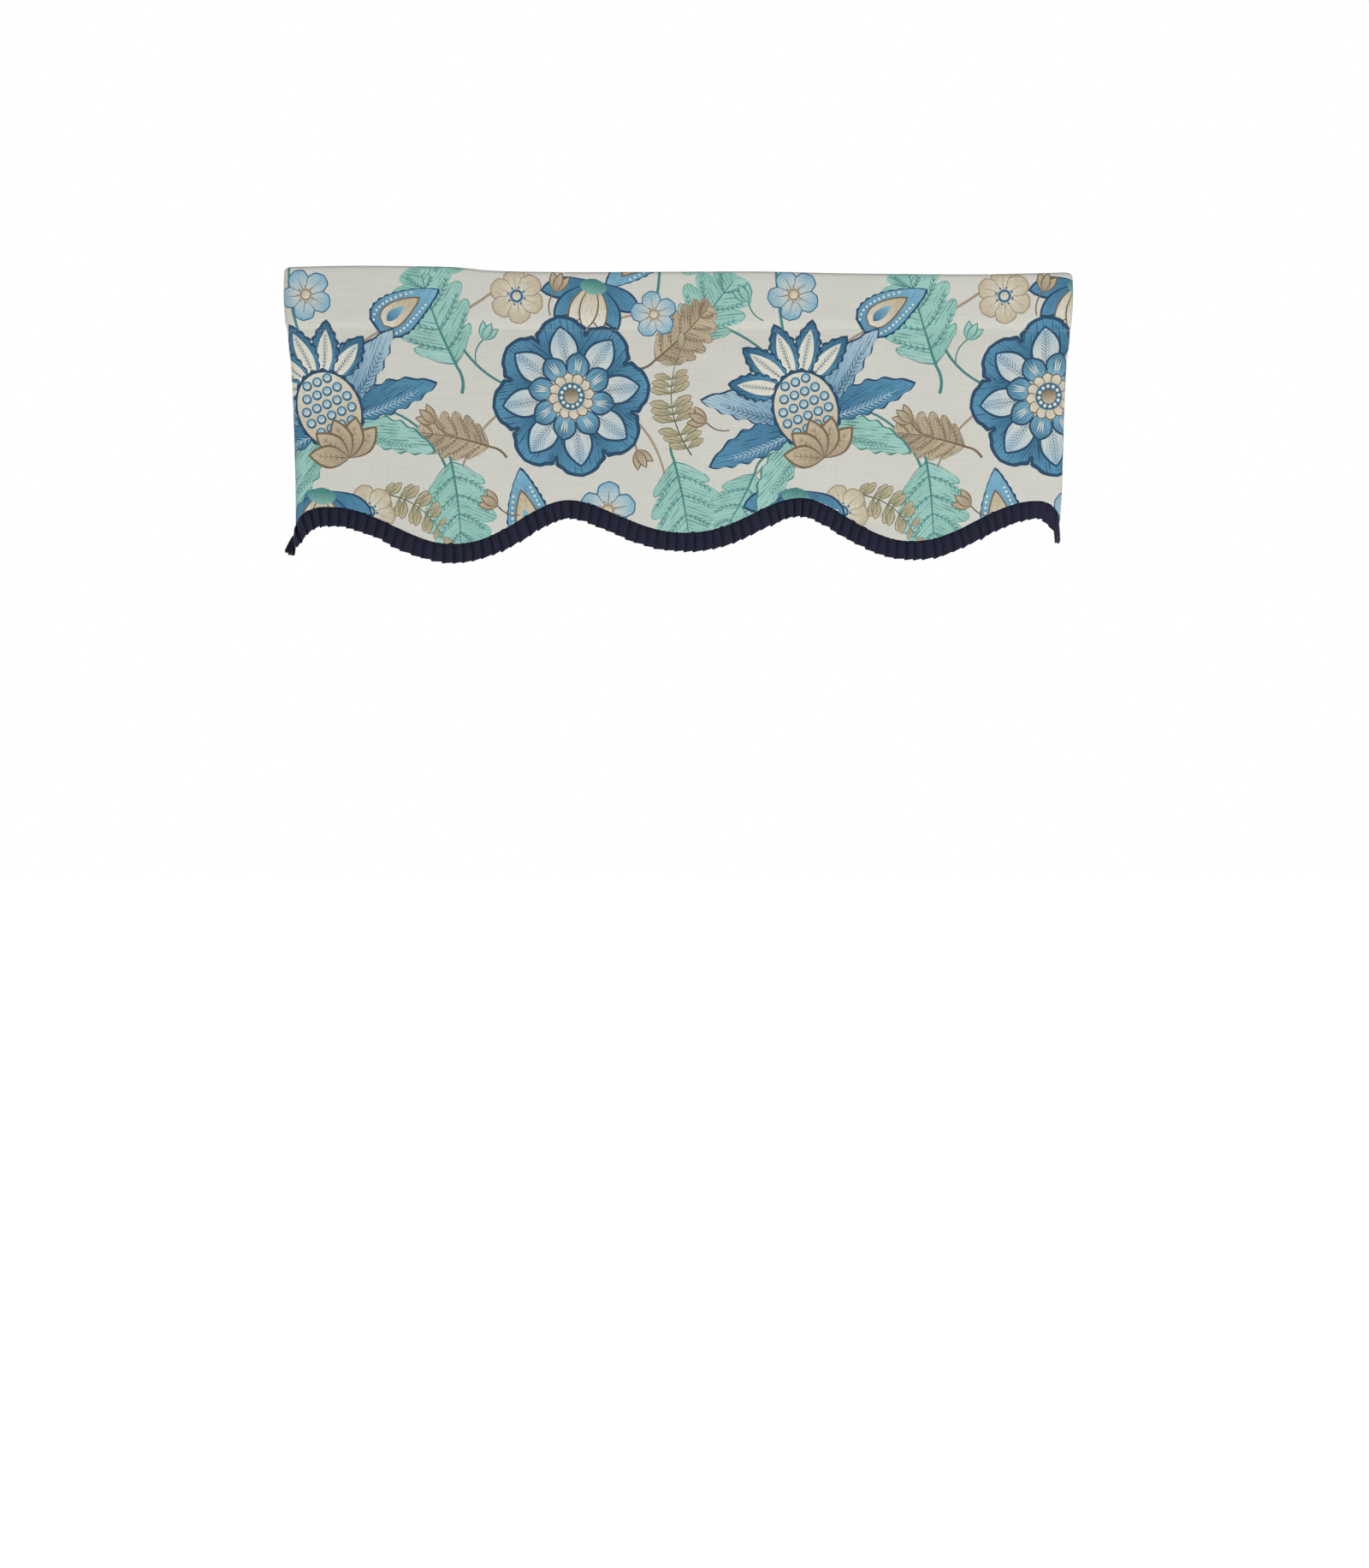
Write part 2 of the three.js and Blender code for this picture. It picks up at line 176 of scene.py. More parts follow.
def unevenness(index: float) -> float:
    """Give a repeatable number from -1 to 1 for an index."""
    return 2 * ((math.sin(index * 12.9898) * 43758.5453) % 1) - 1


# ---- the hanging shape ----


@dataclass(frozen=True)
class Hang:
    """The valance's hanging surface, from flat measures to places in the row's frame."""

    half_width: float = 560.0
    return_depth: float = 76.0
    corner_radius: float = 14.0
    pocket_room: float = 11.0
    solid_thickness: float = 1.5
    seam_z: float = -84.5
    seam_pinch: float = 2.2
    seam_allowance: float = 7.0
    pinch_above: float = 15.0
    pinch_below: float = 26.0
    hang_back: float = 0.8
    hem_level: float = -355.0
    left_flare: float = 9.0
    right_flare: float = 4.0
    turn_radius: float = 0.65
    face_lift: float = 0.5
    layer_step: float = 0.15
    hem_layers: float = 4.0
    hem_from: float = 12.0
    hem_clear: float = 22.0
    flare_down: float = 1.5
    flare_back: float = 1.3
    swing_down: float = 1.4
    slope_reach: float = 2.0

    @property
    def straight(self) -> float:
        """Half of the front between its corners."""
        return self.half_width - self.corner_radius

    @property
    def corner_length(self) -> float:
        """Length of the cloth round a corner."""
        return math.pi / 2 * self.corner_radius

    @property
    def half_length(self) -> float:
        """From the cloth's middle to a wall edge."""
        return self.straight + self.corner_length + self.return_depth - self.corner_radius

    @property
    def fold_radius(self) -> float:
        """Radius of the top fold."""
        return self.pocket_room / 2

    def top(self, along: Floats) -> Floats:
        """Give the height of the top edge."""
        return TOP_EDGE.smooth("z", along)

    def band_top(self, along: Floats) -> Floats:
        """Give the height at which the front layer starts to turn over."""
        return self.top(along) - self.solid_thickness / 2 - self.fold_radius

    def hem(self, along: Floats) -> Floats:
        """Give the height of the wavy lower edge.

        Args:
            along: distances along the cloth.

        Returns:
            The heights.
        """
        row, share = HEM.bracket(np.asarray(along, float))
        wave = (1 - np.cos(math.pi * share ** HEM.column["lean"][row])) / 2
        z = HEM.column["z"]
        return z[row] + (z[row + 1] - z[row]) * wave

    def hem_slope(self, along: Floats) -> Floats:
        """Give the lower edge's rise for each millimetre along."""
        reach = self.slope_reach
        return (self.hem(along + reach) - self.hem(along - reach)) / (2 * reach)

    def hang_share(self, z: Floats) -> Floats:
        """Give 0 at the pocket's foot and above, 1 at the hem."""
        foot = self.seam_z - self.seam_allowance
        return np.clip((z - foot) / (self.hem_level - foot), 0.0, 1.1)

    def layer(self, along: Floats, z: Floats) -> Floats:
        """Place points in the middle of the front layer.

        Args:
            along: distances along the cloth.
            z: heights.

        Returns:
            The points, one a row.
        """
        left = along < 0
        side = np.where(left, -1.0, 1.0)
        half = np.where(left, SIDES.smooth("left", z), SIDES.smooth("right", z))
        distance = np.abs(along)
        turn = np.clip((distance - self.straight) / self.corner_radius, 0.0, math.pi / 2)
        back = np.maximum(distance - self.straight - self.corner_length, 0.0)
        inner = half - self.corner_radius
        on_front = inner * np.minimum(distance / self.straight, 1.0)
        share = self.hang_share(z)
        run = back / (self.return_depth - self.corner_radius)
        flare = np.where(left, self.left_flare, self.right_flare)
        flare = flare * share**self.flare_down * run**self.flare_back
        swing = sum(
            forward * np.exp(-(((along - centre) / width) ** 2))
            for centre, width, forward in zip(*SWINGS.column.values())
        )
        x = side * (on_front + self.corner_radius * np.sin(turn) + flare)
        y = self.corner_radius * (1 - np.cos(turn)) + back - self.pocket_room / 2
        return np.stack([x, y - swing * share**self.swing_down, z], axis=-1)

    def place(self, along: Floats, z: Floats, inward: Floats) -> Floats:
        """Place points by their depth behind the middle of the front layer.

        Args:
            along: distances along the cloth.
            z: heights.
            inward: depths, square to the cloth and level.

        Returns:
            The points, one a row.
        """
        near = np.clip(along, -self.half_length, self.half_length)
        run = self.layer(np.minimum(near + 0.5, self.half_length), z)
        run = run - self.layer(np.maximum(near - 0.5, -self.half_length), z)
        run /= np.linalg.norm(run, axis=-1, keepdims=True)
        inside = np.stack([-run[..., 1], run[..., 0], np.zeros_like(z)], axis=-1)
        return self.layer(along, z) + inside * inward[..., None]

    def front_inward(self, z: Floats) -> Floats:
        """Give the depth of the front layer, drawn in by the pocket's stitching.

        Args:
            z: heights.

        Returns:
            The depths behind the layer's middle.
        """
        above = self.seam_pinch * (1 - ease(z, self.seam_z, self.seam_z + self.pinch_above))
        rise = ease(z, self.seam_z - self.pinch_below, self.seam_z)
        below = self.hang_back + (self.seam_pinch - self.hang_back) * rise
        return np.where(z >= self.seam_z, above, below)

    def on_layer(self, along: Floats, up: Floats) -> Floats:
        """Place points in the middle of the cloth's thickness.

        Args:
            along: distances along the cloth.
            up: the flat measure up the front, over the fold and down behind.

        Returns:
            The points, one a row.
        """
        top = self.band_top(along)
        arc = math.pi * self.fold_radius
        over = np.clip(up - top, 0.0, arc) / self.fold_radius
        behind = np.maximum(up - top - arc, 0.0)
        z = np.where(up < top, up, top + self.fold_radius * np.sin(over) - behind)
        end = self.half_length
        at_ends = ease(np.abs(along), end - self.hem_clear, end - self.hem_from)
        sewn = self.seam_pinch + self.layer_step + self.hem_layers * self.turn_radius * at_ends
        closed = BACK_LAYER.smooth("closed", z - self.seam_z)
        back = self.pocket_room + (sewn - self.pocket_room) * closed
        folded = self.fold_radius * (1 - np.cos(over))
        inward = np.where(up < top, self.front_inward(z), np.where(behind > 0, back, folded))
        return self.place(along, z, inward)

    def outward(self, along: Floats, up: Floats) -> Floats:
        """Give the direction out of the cloth's printed side.

        Args:
            along: distances along the cloth.
            up: measures up the cloth.

        Returns:
            The directions, one a row.
        """
        reach = 0.05
        across = self.on_layer(along + reach, up) - self.on_layer(along - reach, up)
        upward = self.on_layer(along, up + reach) - self.on_layer(along, up - reach)
        square = np.cross(across, upward)
        return square / np.linalg.norm(square, axis=-1, keepdims=True)

    def turned(self, past: Floats) -> tuple[Floats, Floats]:
        """Turn under what runs past an edge.

        Args:
            past: how far each point runs past the edge, negative before it.

        Returns:
            How far the folded point stands past the edge, and its depth behind the face.
        """
        radius = self.turn_radius
        angle = np.clip(past / radius, 0.0, math.pi)
        rolled = radius * np.sin(angle)
        beyond = np.where(past < 0, past, rolled - np.maximum(past - math.pi * radius, 0.0))
        return beyond, radius * (1 - np.cos(angle))

    def face(self, along: Floats, up: Floats, lift: float = 0.0) -> Floats:
        """Place points on the cloth's printed side, with its edges turned under.

        Args:
            along: flat distances along the cloth, its side hems included.
            up: flat measures up the cloth, its turned lower edge included.
            lift: how far off the printed side the points stand.

        Returns:
            The points, one a row.
        """
        beyond, side_depth = self.turned(np.abs(along) - self.half_length)
        folded = np.where(along < 0, -1.0, 1.0) * (self.half_length + beyond)
        hem = self.hem(folded)
        below, hem_depth = self.turned(hem - up)
        height = hem - below
        depth = side_depth + hem_depth - self.face_lift - lift
        return self.on_layer(folded, height) - self.outward(folded, height) * depth[..., None]


# ---- shader graphs ----


class Wire:
    """A node's output. Maths on it adds Math nodes."""

    def __init__(self, graph: Graph, socket: bpy.types.NodeSocket) -> None:
        """Wrap a socket of the graph."""
        self.graph, self.socket = graph, socket

    def math(self, operation: str, *values: Wire | float) -> Wire:
        """Add a Math node on this value and the others."""
        sockets = dict(enumerate((self, *values)))
        return self.graph.add("ShaderNodeMath", {"operation": operation}, sockets)

    def __add__(self, other: Wire | float) -> Wire:
        """Add."""
        return self.math("ADD", other)

    def __sub__(self, other: Wire | float) -> Wire:
        """Subtract."""
        return self.math("SUBTRACT", other)

    def __rsub__(self, other: float) -> Wire:
        """Subtract from a number."""
        return self * -1.0 + other

    def __mul__(self, other: Wire | float) -> Wire:
        """Multiply."""
        return self.math("MULTIPLY", other)

    __radd__ = __add__
    __rmul__ = __mul__

    def sine(self) -> Wire:
        """Take the sine."""
        return self.math("SINE")

    def between(self, low: float, high: float) -> Wire:
        """Go from 0 at low to 1 at high, level at both ends.

        Args:
            low: where it starts to rise.
            high: where it reaches 1.

        Returns:
            The share.
        """
        return self.graph.add(
            "ShaderNodeMapRange",
            {"interpolation_type": "SMOOTHSTEP"},
            {"Value": self, "From Min": low, "From Max": high},
        )


class Graph:
    """A material's node graph round one Principled shader."""

    def __init__(self, name: str) -> None:
        """Make an empty material of that name.

        Args:
            name: the material's name.
        """
        self.material = bpy.data.materials.new(name)
        self.material.use_nodes = True
        self.tree = self.material.node_tree
        self.shader = self.tree.nodes["Principled BSDF"]

    def add(self, kind: str, settings: dict[str, Any], sockets: dict[Any, Any],
            output: Any = None) -> Wire:
        """Add a node.

        Args:
            kind: the node's type.
            settings: its properties, set first.
            sockets: values or wires for its inputs, by name or number.
            output: the wanted output, by name or number, or None for the first that is in use.

        Returns:
            The wanted output.
        """
        node = self.tree.nodes.new(kind)
        for name, value in settings.items():
            setattr(node, name, value)
        for name, value in sockets.items():
            self.feed(node.inputs[name], value)
        if output is None:
            return Wire(self, next(socket for socket in node.outputs if socket.enabled))
        return Wire(self, node.outputs[output])

    def feed(self, socket: bpy.types.NodeSocket, value: Any) -> None:
        """Link a wire to a socket, or set its value.

        Args:
            socket: the socket.
            value: a wire, a number or a colour.
        """
        if isinstance(value, Wire):
            self.tree.links.new(value.socket, socket)
        elif isinstance(value, tuple) and len(value) == 3 and socket.type == "RGBA":
            socket.default_value = (*value, 1.0)
        else:
            socket.default_value = value

    def finish(self, **values: Any) -> bpy.types.Material:
        """Set the shader's own sockets, named with _ for a space, and hand over the material."""
        for name, value in values.items():
            self.feed(self.shader.inputs[name.replace("_", " ")], value)
        return self.material

    def mix(self, share: Wire | float, first: Any, second: Any, blend: str = "MIX") -> Wire:
        """Blend two colours."""
        settings = {"data_type": "RGBA", "blend_type": blend}
        return self.add("ShaderNodeMix", settings, {0: share, 6: first, 7: second}, 2)

    def toned(self, colour: Any, tone: Any) -> Wire:
        """Multiply a colour by a colour or by one number."""
        tone = self.join(tone, tone, tone) if isinstance(tone, Wire) else tone
        return self.mix(1.0, colour, tone, "MULTIPLY")

    def noise(self, x: Wire, y: Wire, detail: float = 2.0) -> Wire:
        """Add smooth noise on the flat cloth."""
        place = {"Vector": self.join(x, y), "Scale": 1.0, "Detail": detail}
        return self.add("ShaderNodeTexNoise", {}, place, 0)

    def attribute(self, name: str, output: str) -> Wire:
        """Read what a mesh's corners carry."""
        return self.add("ShaderNodeAttribute", {"attribute_name": name}, {}, output)

    def flat(self) -> Sequence[Wire]:
        """Give the place on the flat cloth, in metres along and up."""
        return self.parts(self.add("ShaderNodeUVMap", {"uv_map": "flat"}, {}))[:2]

    def parts(self, vector: Wire) -> tuple[Wire, Wire, Wire]:
        """Split a vector into its three numbers."""
        split = self.add("ShaderNodeSeparateXYZ", {}, {0: vector}, 0).socket.node
        return tuple(Wire(self, socket) for socket in split.outputs)

    def join(self, x: Any, y: Any, z: Any = 0.0) -> Wire:
        """Join three numbers into a vector."""
        return self.add("ShaderNodeCombineXYZ", {}, {0: x, 1: y, 2: z})

    def bump(self, height: Wire, distance: float, strength: float) -> Wire:
        """Turn a height in its own units into a normal."""
        sockets = {"Height": height, "Distance": distance, "Strength": strength}
        return self.add("ShaderNodeBump", {}, sockets)


# ---- the print ----


class Ink(Enum):
    """The printer's inks, as linear red, green and blue."""

    NAVY = (0.016, 0.055, 0.108)
    DEEP_BLUE = (0.032, 0.125, 0.215)
    BLUE = (0.08, 0.235, 0.36)
    SKY = (0.17, 0.37, 0.49)
    PALE_BLUE = (0.36, 0.48, 0.55)
    CREAM = (0.61, 0.59, 0.5)
    TAN = (0.46, 0.385, 0.26)
    BROWN = (0.15, 0.105, 0.065)
    TAUPE = (0.3, 0.235, 0.165)
    SEAFOAM = (0.22, 0.435, 0.375)
    MINT = (0.3, 0.51, 0.455)
    TEAL = (0.05, 0.19, 0.175)
    OLIVE = (0.3, 0.285, 0.175)
    MOSS = (0.12, 0.115, 0.06)


@dataclass
class Region:
    """One flat patch of ink on the cloth, or an ink that fades into another."""

    outline: Floats
    ink: Ink
    fade: Ink | None = None
    axis: Floats = field(default_factory=lambda: straight_axis(1.0))
    lines: float = 0.0
    spacing: float = 3.0
    slant: float = 0.0

    def placed(self, at: Spot, turn: float, size: float) -> Region:
        """Copy the region to its place on the cloth.

        Args:
            at: the place, along and up.
            turn: degrees anticlockwise.
            size: the scale.

        Returns:
            The placed copy.
        """
        c, s = math.cos(math.radians(turn)), math.sin(math.radians(turn))
        spin = np.array([[c, s], [-s, c]]) * size
        return Region(
            self.outline @ spin + at, self.ink, self.fade, self.axis @ spin + at, self.lines,
            self.spacing * math.sqrt(size), self.slant + turn,
        )

    def colours(self, points: Floats) -> Floats:
        """Give the ink's colour and the strength of its drawn lines at flat points.

        Args:
            points: the points, one a row.

        Returns:
            Red, green, blue and the strength, one point a row.
        """
        first = np.array([*self.ink.value, self.lines])
        last = np.array([*(self.fade or self.ink).value, self.lines])
        run = self.axis[1] - self.axis[0]
        share = np.clip((points - self.axis[0]) @ run / (run @ run), 0.0, 1.0)[:, None]
        return first + (last - first) * share

    @property
    def hatching(self) -> tuple[float, float]:
        """How many lines cross a metre, along and up."""
        angle = math.radians(self.slant)
        return math.cos(angle) / (self.spacing * MM), math.sin(angle) / (self.spacing * MM)


def moved(parts: Iterable[Region], at: Spot = (0, 0), turn: float = 0,
          size: float = 1) -> list[Region]:
    """Copy parts to their place on the cloth or in a motif."""
    return [part.placed(at, turn, size) for part in parts]


def ring(parts: list[Region], count: int, first: float = 0, spread: float = 360) -> list[Region]:
    """Repeat parts round the origin."""
    return [part for k in range(count) for part in moved(parts, turn=first + spread / count * k)]


def straight_axis(length: float, start: float = 0.0) -> Floats:
    """Give an axis up from the origin for a fading ink."""
    return np.array([[0.0, start], [0.0, start + length]])


def petal(length: float, width: float, belly: float = 0.55, point: float = 0.8, bend: float = 0.0,
          steps: int = 9, teeth: int = 0, cut: float = 0.0, start: float = 0.0) -> Floats:
    """Draw a petal or leaf that grows up from the origin.

    Args:
        length: from its root to its tip.
        width: at its widest.
        belly: where it is widest, as a share of the length.
        point: above 1 for a sharp tip, below for a blunt one.
        bend: how far the tip leans to the right.
        steps: points on each side.
        teeth: lobes on each side.
        cut: how deep the lobes are cut, as a share of the half width.
        start: distance from the origin to the root.

    Returns:
        The outline, anticlockwise.
    """
    t = np.linspace(0.0, 1.0, steps + 1)
    half = width / 2 * np.sin(math.pi * t ** (math.log(0.5) / math.log(belly))) ** point
    lobe = 1 - cut * (0.5 + 0.5 * np.cos(2 * math.pi * teeth * t)) if teeth else 1.0
    edge = half * lobe
    y = start + length * t + (half * 0.45 * cut if teeth else 0.0)
    x = bend * t * t
    right = np.stack([x + edge, y], axis=1)
    left = np.stack([x - edge, y], axis=1)[-2:0:-1]
    return np.concatenate([right, left])


def bordered(outer: Spot, inner: Spot, inks: Sequence[Ink], axis: Floats, lines: float,
             spacing: float, **shape: float) -> list[Region]:
    """Draw a petal of fading ink in a border of another ink.

    Args:
        outer: the border's length, width and start.
        inner: the petal's length, width and start.
        inks: the border's ink, then the petal's two inks.
        axis: where the petal's ink fades.
        lines: strength of the drawn lines.
        spacing: their distance.
        shape: what else petal takes, the same for both outlines.

    Returns:
        The border and the petal.
    """
    edge, body = (petal(n, w, start=start, **shape) for n, w, start in (outer, inner))
    return [Region(edge, inks[0]), Region(body, inks[1], inks[2], axis, lines, spacing)]


def disc(radius: float, at: Spot = (0.0, 0.0), steps: int = 16, wave: float = 0.0,
         waves: int = 0, tall: float = 1.0) -> Floats:
    """Draw a disc, an oval or a scalloped ring's outline."""
    angle = np.linspace(0.0, 2 * math.pi, steps, endpoint=False)
    reach = radius * (1 + wave * np.cos(waves * angle))
    return np.stack([at[0] + reach * np.cos(angle), at[1] + reach * np.sin(angle) * tall], axis=1)


def ribbon(points: Floats, width: float, end_width: float) -> Floats:
    """Draw a strip along a line of points, from one width to another.

    Args:
        points: the line.
        width: the strip's width at the first point.
        end_width: its width at the last.

    Returns:
        The outline.
    """
    run = np.gradient(points, axis=0)
    run /= np.linalg.norm(run, axis=1, keepdims=True)
    side = np.stack([run[:, 1], -run[:, 0]], axis=1)
    half = np.linspace(width, end_width, len(points))[:, None] / 2
    return np.concatenate([points + side * half, (points - side * half)[::-1]])


def bow(start: Spot, end: Spot, sag: float, steps: int) -> Floats:
    """Draw a curve between two points that bows to its left by a share of its length.

    Args:
        start: the first point.
        end: the last point.
        sag: how far it bows, as a share of its length.
        steps: how many points it gets.

    Returns:
        The curve's points.
    """
    t = np.linspace(0.0, 1.0, steps)[:, None]
    run = np.array(end, float) - start
    left = np.array([-run[1], run[0]])
    return start + run * t + left * sag * 4 * t * (1 - t)


def inside(outline: Floats, points: Floats) -> Floats:
    """Tell which points a closed outline winds round.

    Args:
        outline: the outline's corners in order.
        points: the points, one a row.

    Returns:
        True for each point inside.
    """
    winding = np.zeros(len(points), int)
    x, y = points.T
    for (x0, y0), (x1, y1) in zip(outline, np.roll(outline, -1, axis=0)):
        left_of = (x1 - x0) * (y - y0) - (x - x0) * (y1 - y0) > 0
        winding += (y0 <= y) & (y1 > y) & left_of
        winding -= (y0 > y) & (y1 <= y) & ~left_of
    return winding != 0


def stroke(start: Spot, end: Spot, width: float) -> Floats:
    """Draw one pen stroke, widest in its middle third.

    Args:
        start: where the pen sets down.
        end: where it lifts.
        width: at its widest.

    Returns:
        The outline.
    """
    run = np.subtract(end, start)
    side = np.array([run[1], -run[0]]) / np.linalg.norm(run) * width / 2
    near, far = start + run * 0.3, start + run * 0.6
    return np.array([start, near + side, far + side, end, far - side, near - side])


def herringbone(spine: Floats, reach: float, count: int, ink: Ink, width: float = 1.3,
                lean: float = 1.0) -> list[Region]:
    """Draw a spine with short strokes on both sides.

    Args:
        spine: the line's points from root to tip.
        reach: length of the longest strokes.
        count: strokes on each side.
        ink: their ink.
        width: the spine's width at its root.
        lean: how steeply the strokes point to the tip.

    Returns:
        The spine and its strokes.
    """
    drawn = [Region(ribbon(spine, width, width * 0.35), ink)]
    place = np.linspace(0.12, 0.86, count) * (len(spine) - 1)
    for k, at in enumerate(place):
        row = min(int(at), len(spine) - 2)
        root = spine[row] + (spine[row + 1] - spine[row]) * (at - row)
        run = spine[row + 1] - spine[row]
        run = run / np.linalg.norm(run)
        side = np.array([run[1], -run[0]])
        long = reach * math.sin(math.pi * (0.18 + 0.72 * k / count)) ** 0.7
        for hand in (-1, 1):
            tip = root + (run * lean + side * hand) * long / math.hypot(lean, 1)
            drawn.append(Region(stroke(root, tip, width * 0.75), ink))
    return drawn


@dataclass(frozen=True)
class Leaf:
    """A broad leaf of rounded lobes, with a midrib, side veins and pen strokes along them."""

    length: float = 120.0
    width: float = 100.0
    lobes: int = 5
    cut: float = 0.34
    bend: float = 12.0
    rise: float = 0.5
    body: Ink = Ink.SEAFOAM
    light: Ink = Ink.MINT
    vein: Ink = Ink.TEAL

    def rib(self, t: Floats) -> Floats:
        """Give points of the midrib."""
        return np.stack([self.bend * t * t, self.length * t], axis=-1)

    def edge(self, t: Floats, side: float, grow: float = 0.0) -> Floats:
        """Give points of one edge, grown outwards by some millimetres.

        Args:
            t: shares of the way from root to tip.
            side: 1 for the right edge, -1 for the left.
            grow: how far outwards.

        Returns:
            The points, one a row.
        """
        spread = np.sin(math.pi * t**0.82) ** 0.5 * (1 - 0.25 * t)
        lobe = 1 - self.cut + self.cut * np.abs(np.sin(math.pi * self.lobes * t)) ** 0.55
        half = self.width / 2 * spread * lobe + grow * np.minimum(1.0, 4 * (1 - t) + 0.2)
        out = np.stack([side * half, half * self.rise + grow * t], axis=-1)
        return self.rib(t) + out * np.minimum(1.0, 12 * t)[..., None]

    def regions(self) -> list[Region]:
        """Draw the leaf.

        Returns:
            Its regions, from the lowest to the topmost.
        """
        t = np.linspace(0.0, 1.0, self.lobes * 7 + 1)
        back = t[::-1]
        rib = self.rib(t[1:-1:3])
        right = np.concatenate([self.edge(t, 1.0), rib[::-1]])
        left = np.concatenate([self.edge(back, -1.0), rib])
        border = np.concatenate([self.edge(t, 1.0, 1.5), self.edge(back[1:-1], -1.0, 1.5)])
        axis = straight_axis(self.length)
        drawn = [
            Region(border, self.vein, self.body, axis),
            Region(right, self.body, self.light, axis, 0.75, 4.2, 125.0),
            Region(left, self.light, self.body, axis, 0.75, 4.2, 55.0),
        ]
        for k in range(self.lobes):
            for side in (-1.0, 1.0):
                at = (k + 0.5) / self.lobes
                root = self.rib(np.array(max(at - 0.12, 0.03)))
                tip = root + (self.edge(np.array(at), side) - root) * 0.84
                vein = bow(root, tip, -side * 0.08, 6)
                drawn += herringbone(vein, 8.0, 6 if k else 0, self.vein, 1.5, 1.6)
        stem = bow((-8, -30), (0, 0), -0.12, 6)
        line = np.concatenate([stem[:-1], self.rib(t[:-2:2])])
        drawn.append(Region(ribbon(line, 4.0, 1.0), self.vein))
        return drawn


@dataclass(frozen=True)
class Rosette:
    """A large round open bloom of three rings of petals round a seeded heart."""

    petals: int = 8
    reach: float = 118.0

    def regions(self) -> list[Region]:
        """Draw the bloom.

        Returns:
            Its regions, from the lowest to the topmost.
        """
        r = self.reach
        lobed = bordered(
            (r * 0.8, r * 0.7, r * 0.2), (r * 0.75, r * 0.6, r * 0.21),
            (Ink.NAVY, Ink.DEEP_BLUE, Ink.BLUE), straight_axis(r * 0.45, r * 0.5), 1.0, 4.6,
            belly=0.62, point=0.62, steps=30, teeth=6, cut=0.1,
        )
        pale = bordered(
            (r * 0.64, r * 0.38, r * 0.24), (r * 0.6, r * 0.32, r * 0.25),
            (Ink.NAVY, Ink.CREAM, Ink.PALE_BLUE), straight_axis(r * 0.5, r * 0.3), 0.4, 3.6,
            belly=0.55, point=0.85, steps=12,
        )
        pale += herringbone(bow((0, r * 0.32), (0, r * 0.86), 0, 6), r * 0.1, 11, Ink.DEEP_BLUE)
        middle = bordered(
            (r * 0.42, r * 0.31, r * 0.14), (r * 0.385, r * 0.26, r * 0.15),
            (Ink.NAVY, Ink.SKY, Ink.DEEP_BLUE), straight_axis(r * 0.42, r * 0.2), 0.9, 3.4,
            belly=0.6, point=0.75, bend=-3, steps=10,
        )
        for k in (-1, 0, 1):
            pen = stroke((k * 2.0, r * 0.3), (k * 4.5 - 2.0, r * 0.47), 1.6)
            middle.append(Region(pen, Ink.CREAM))
        heart = bordered(
            (r * 0.2, r * 0.15, r * 0.1), (r * 0.175, r * 0.12, r * 0.11),
            (Ink.BROWN, Ink.TAN, Ink.CREAM), straight_axis(r * 0.18, r * 0.12), 0.3, 2.0,
            belly=0.62, point=0.6, steps=6,
        )
        eye = straight_axis(r * 0.16, -r * 0.08)
        return [
            *ring(lobed[:1], self.petals), *ring(lobed[1:], self.petals), *ring(pale, self.petals),
            *ring(middle, self.petals, 180.0 / self.petals),
            *ring(heart, 12),
            Region(disc(r * 0.17, steps=24), Ink.DEEP_BLUE),
            *ring([Region(disc(r * 0.022, (0.0, r * 0.125), 8), Ink.CREAM)], 12),
            Region(disc(r * 0.09), Ink.TAN, Ink.BROWN, eye, 0.4, 2.0, 45.0),
        ]


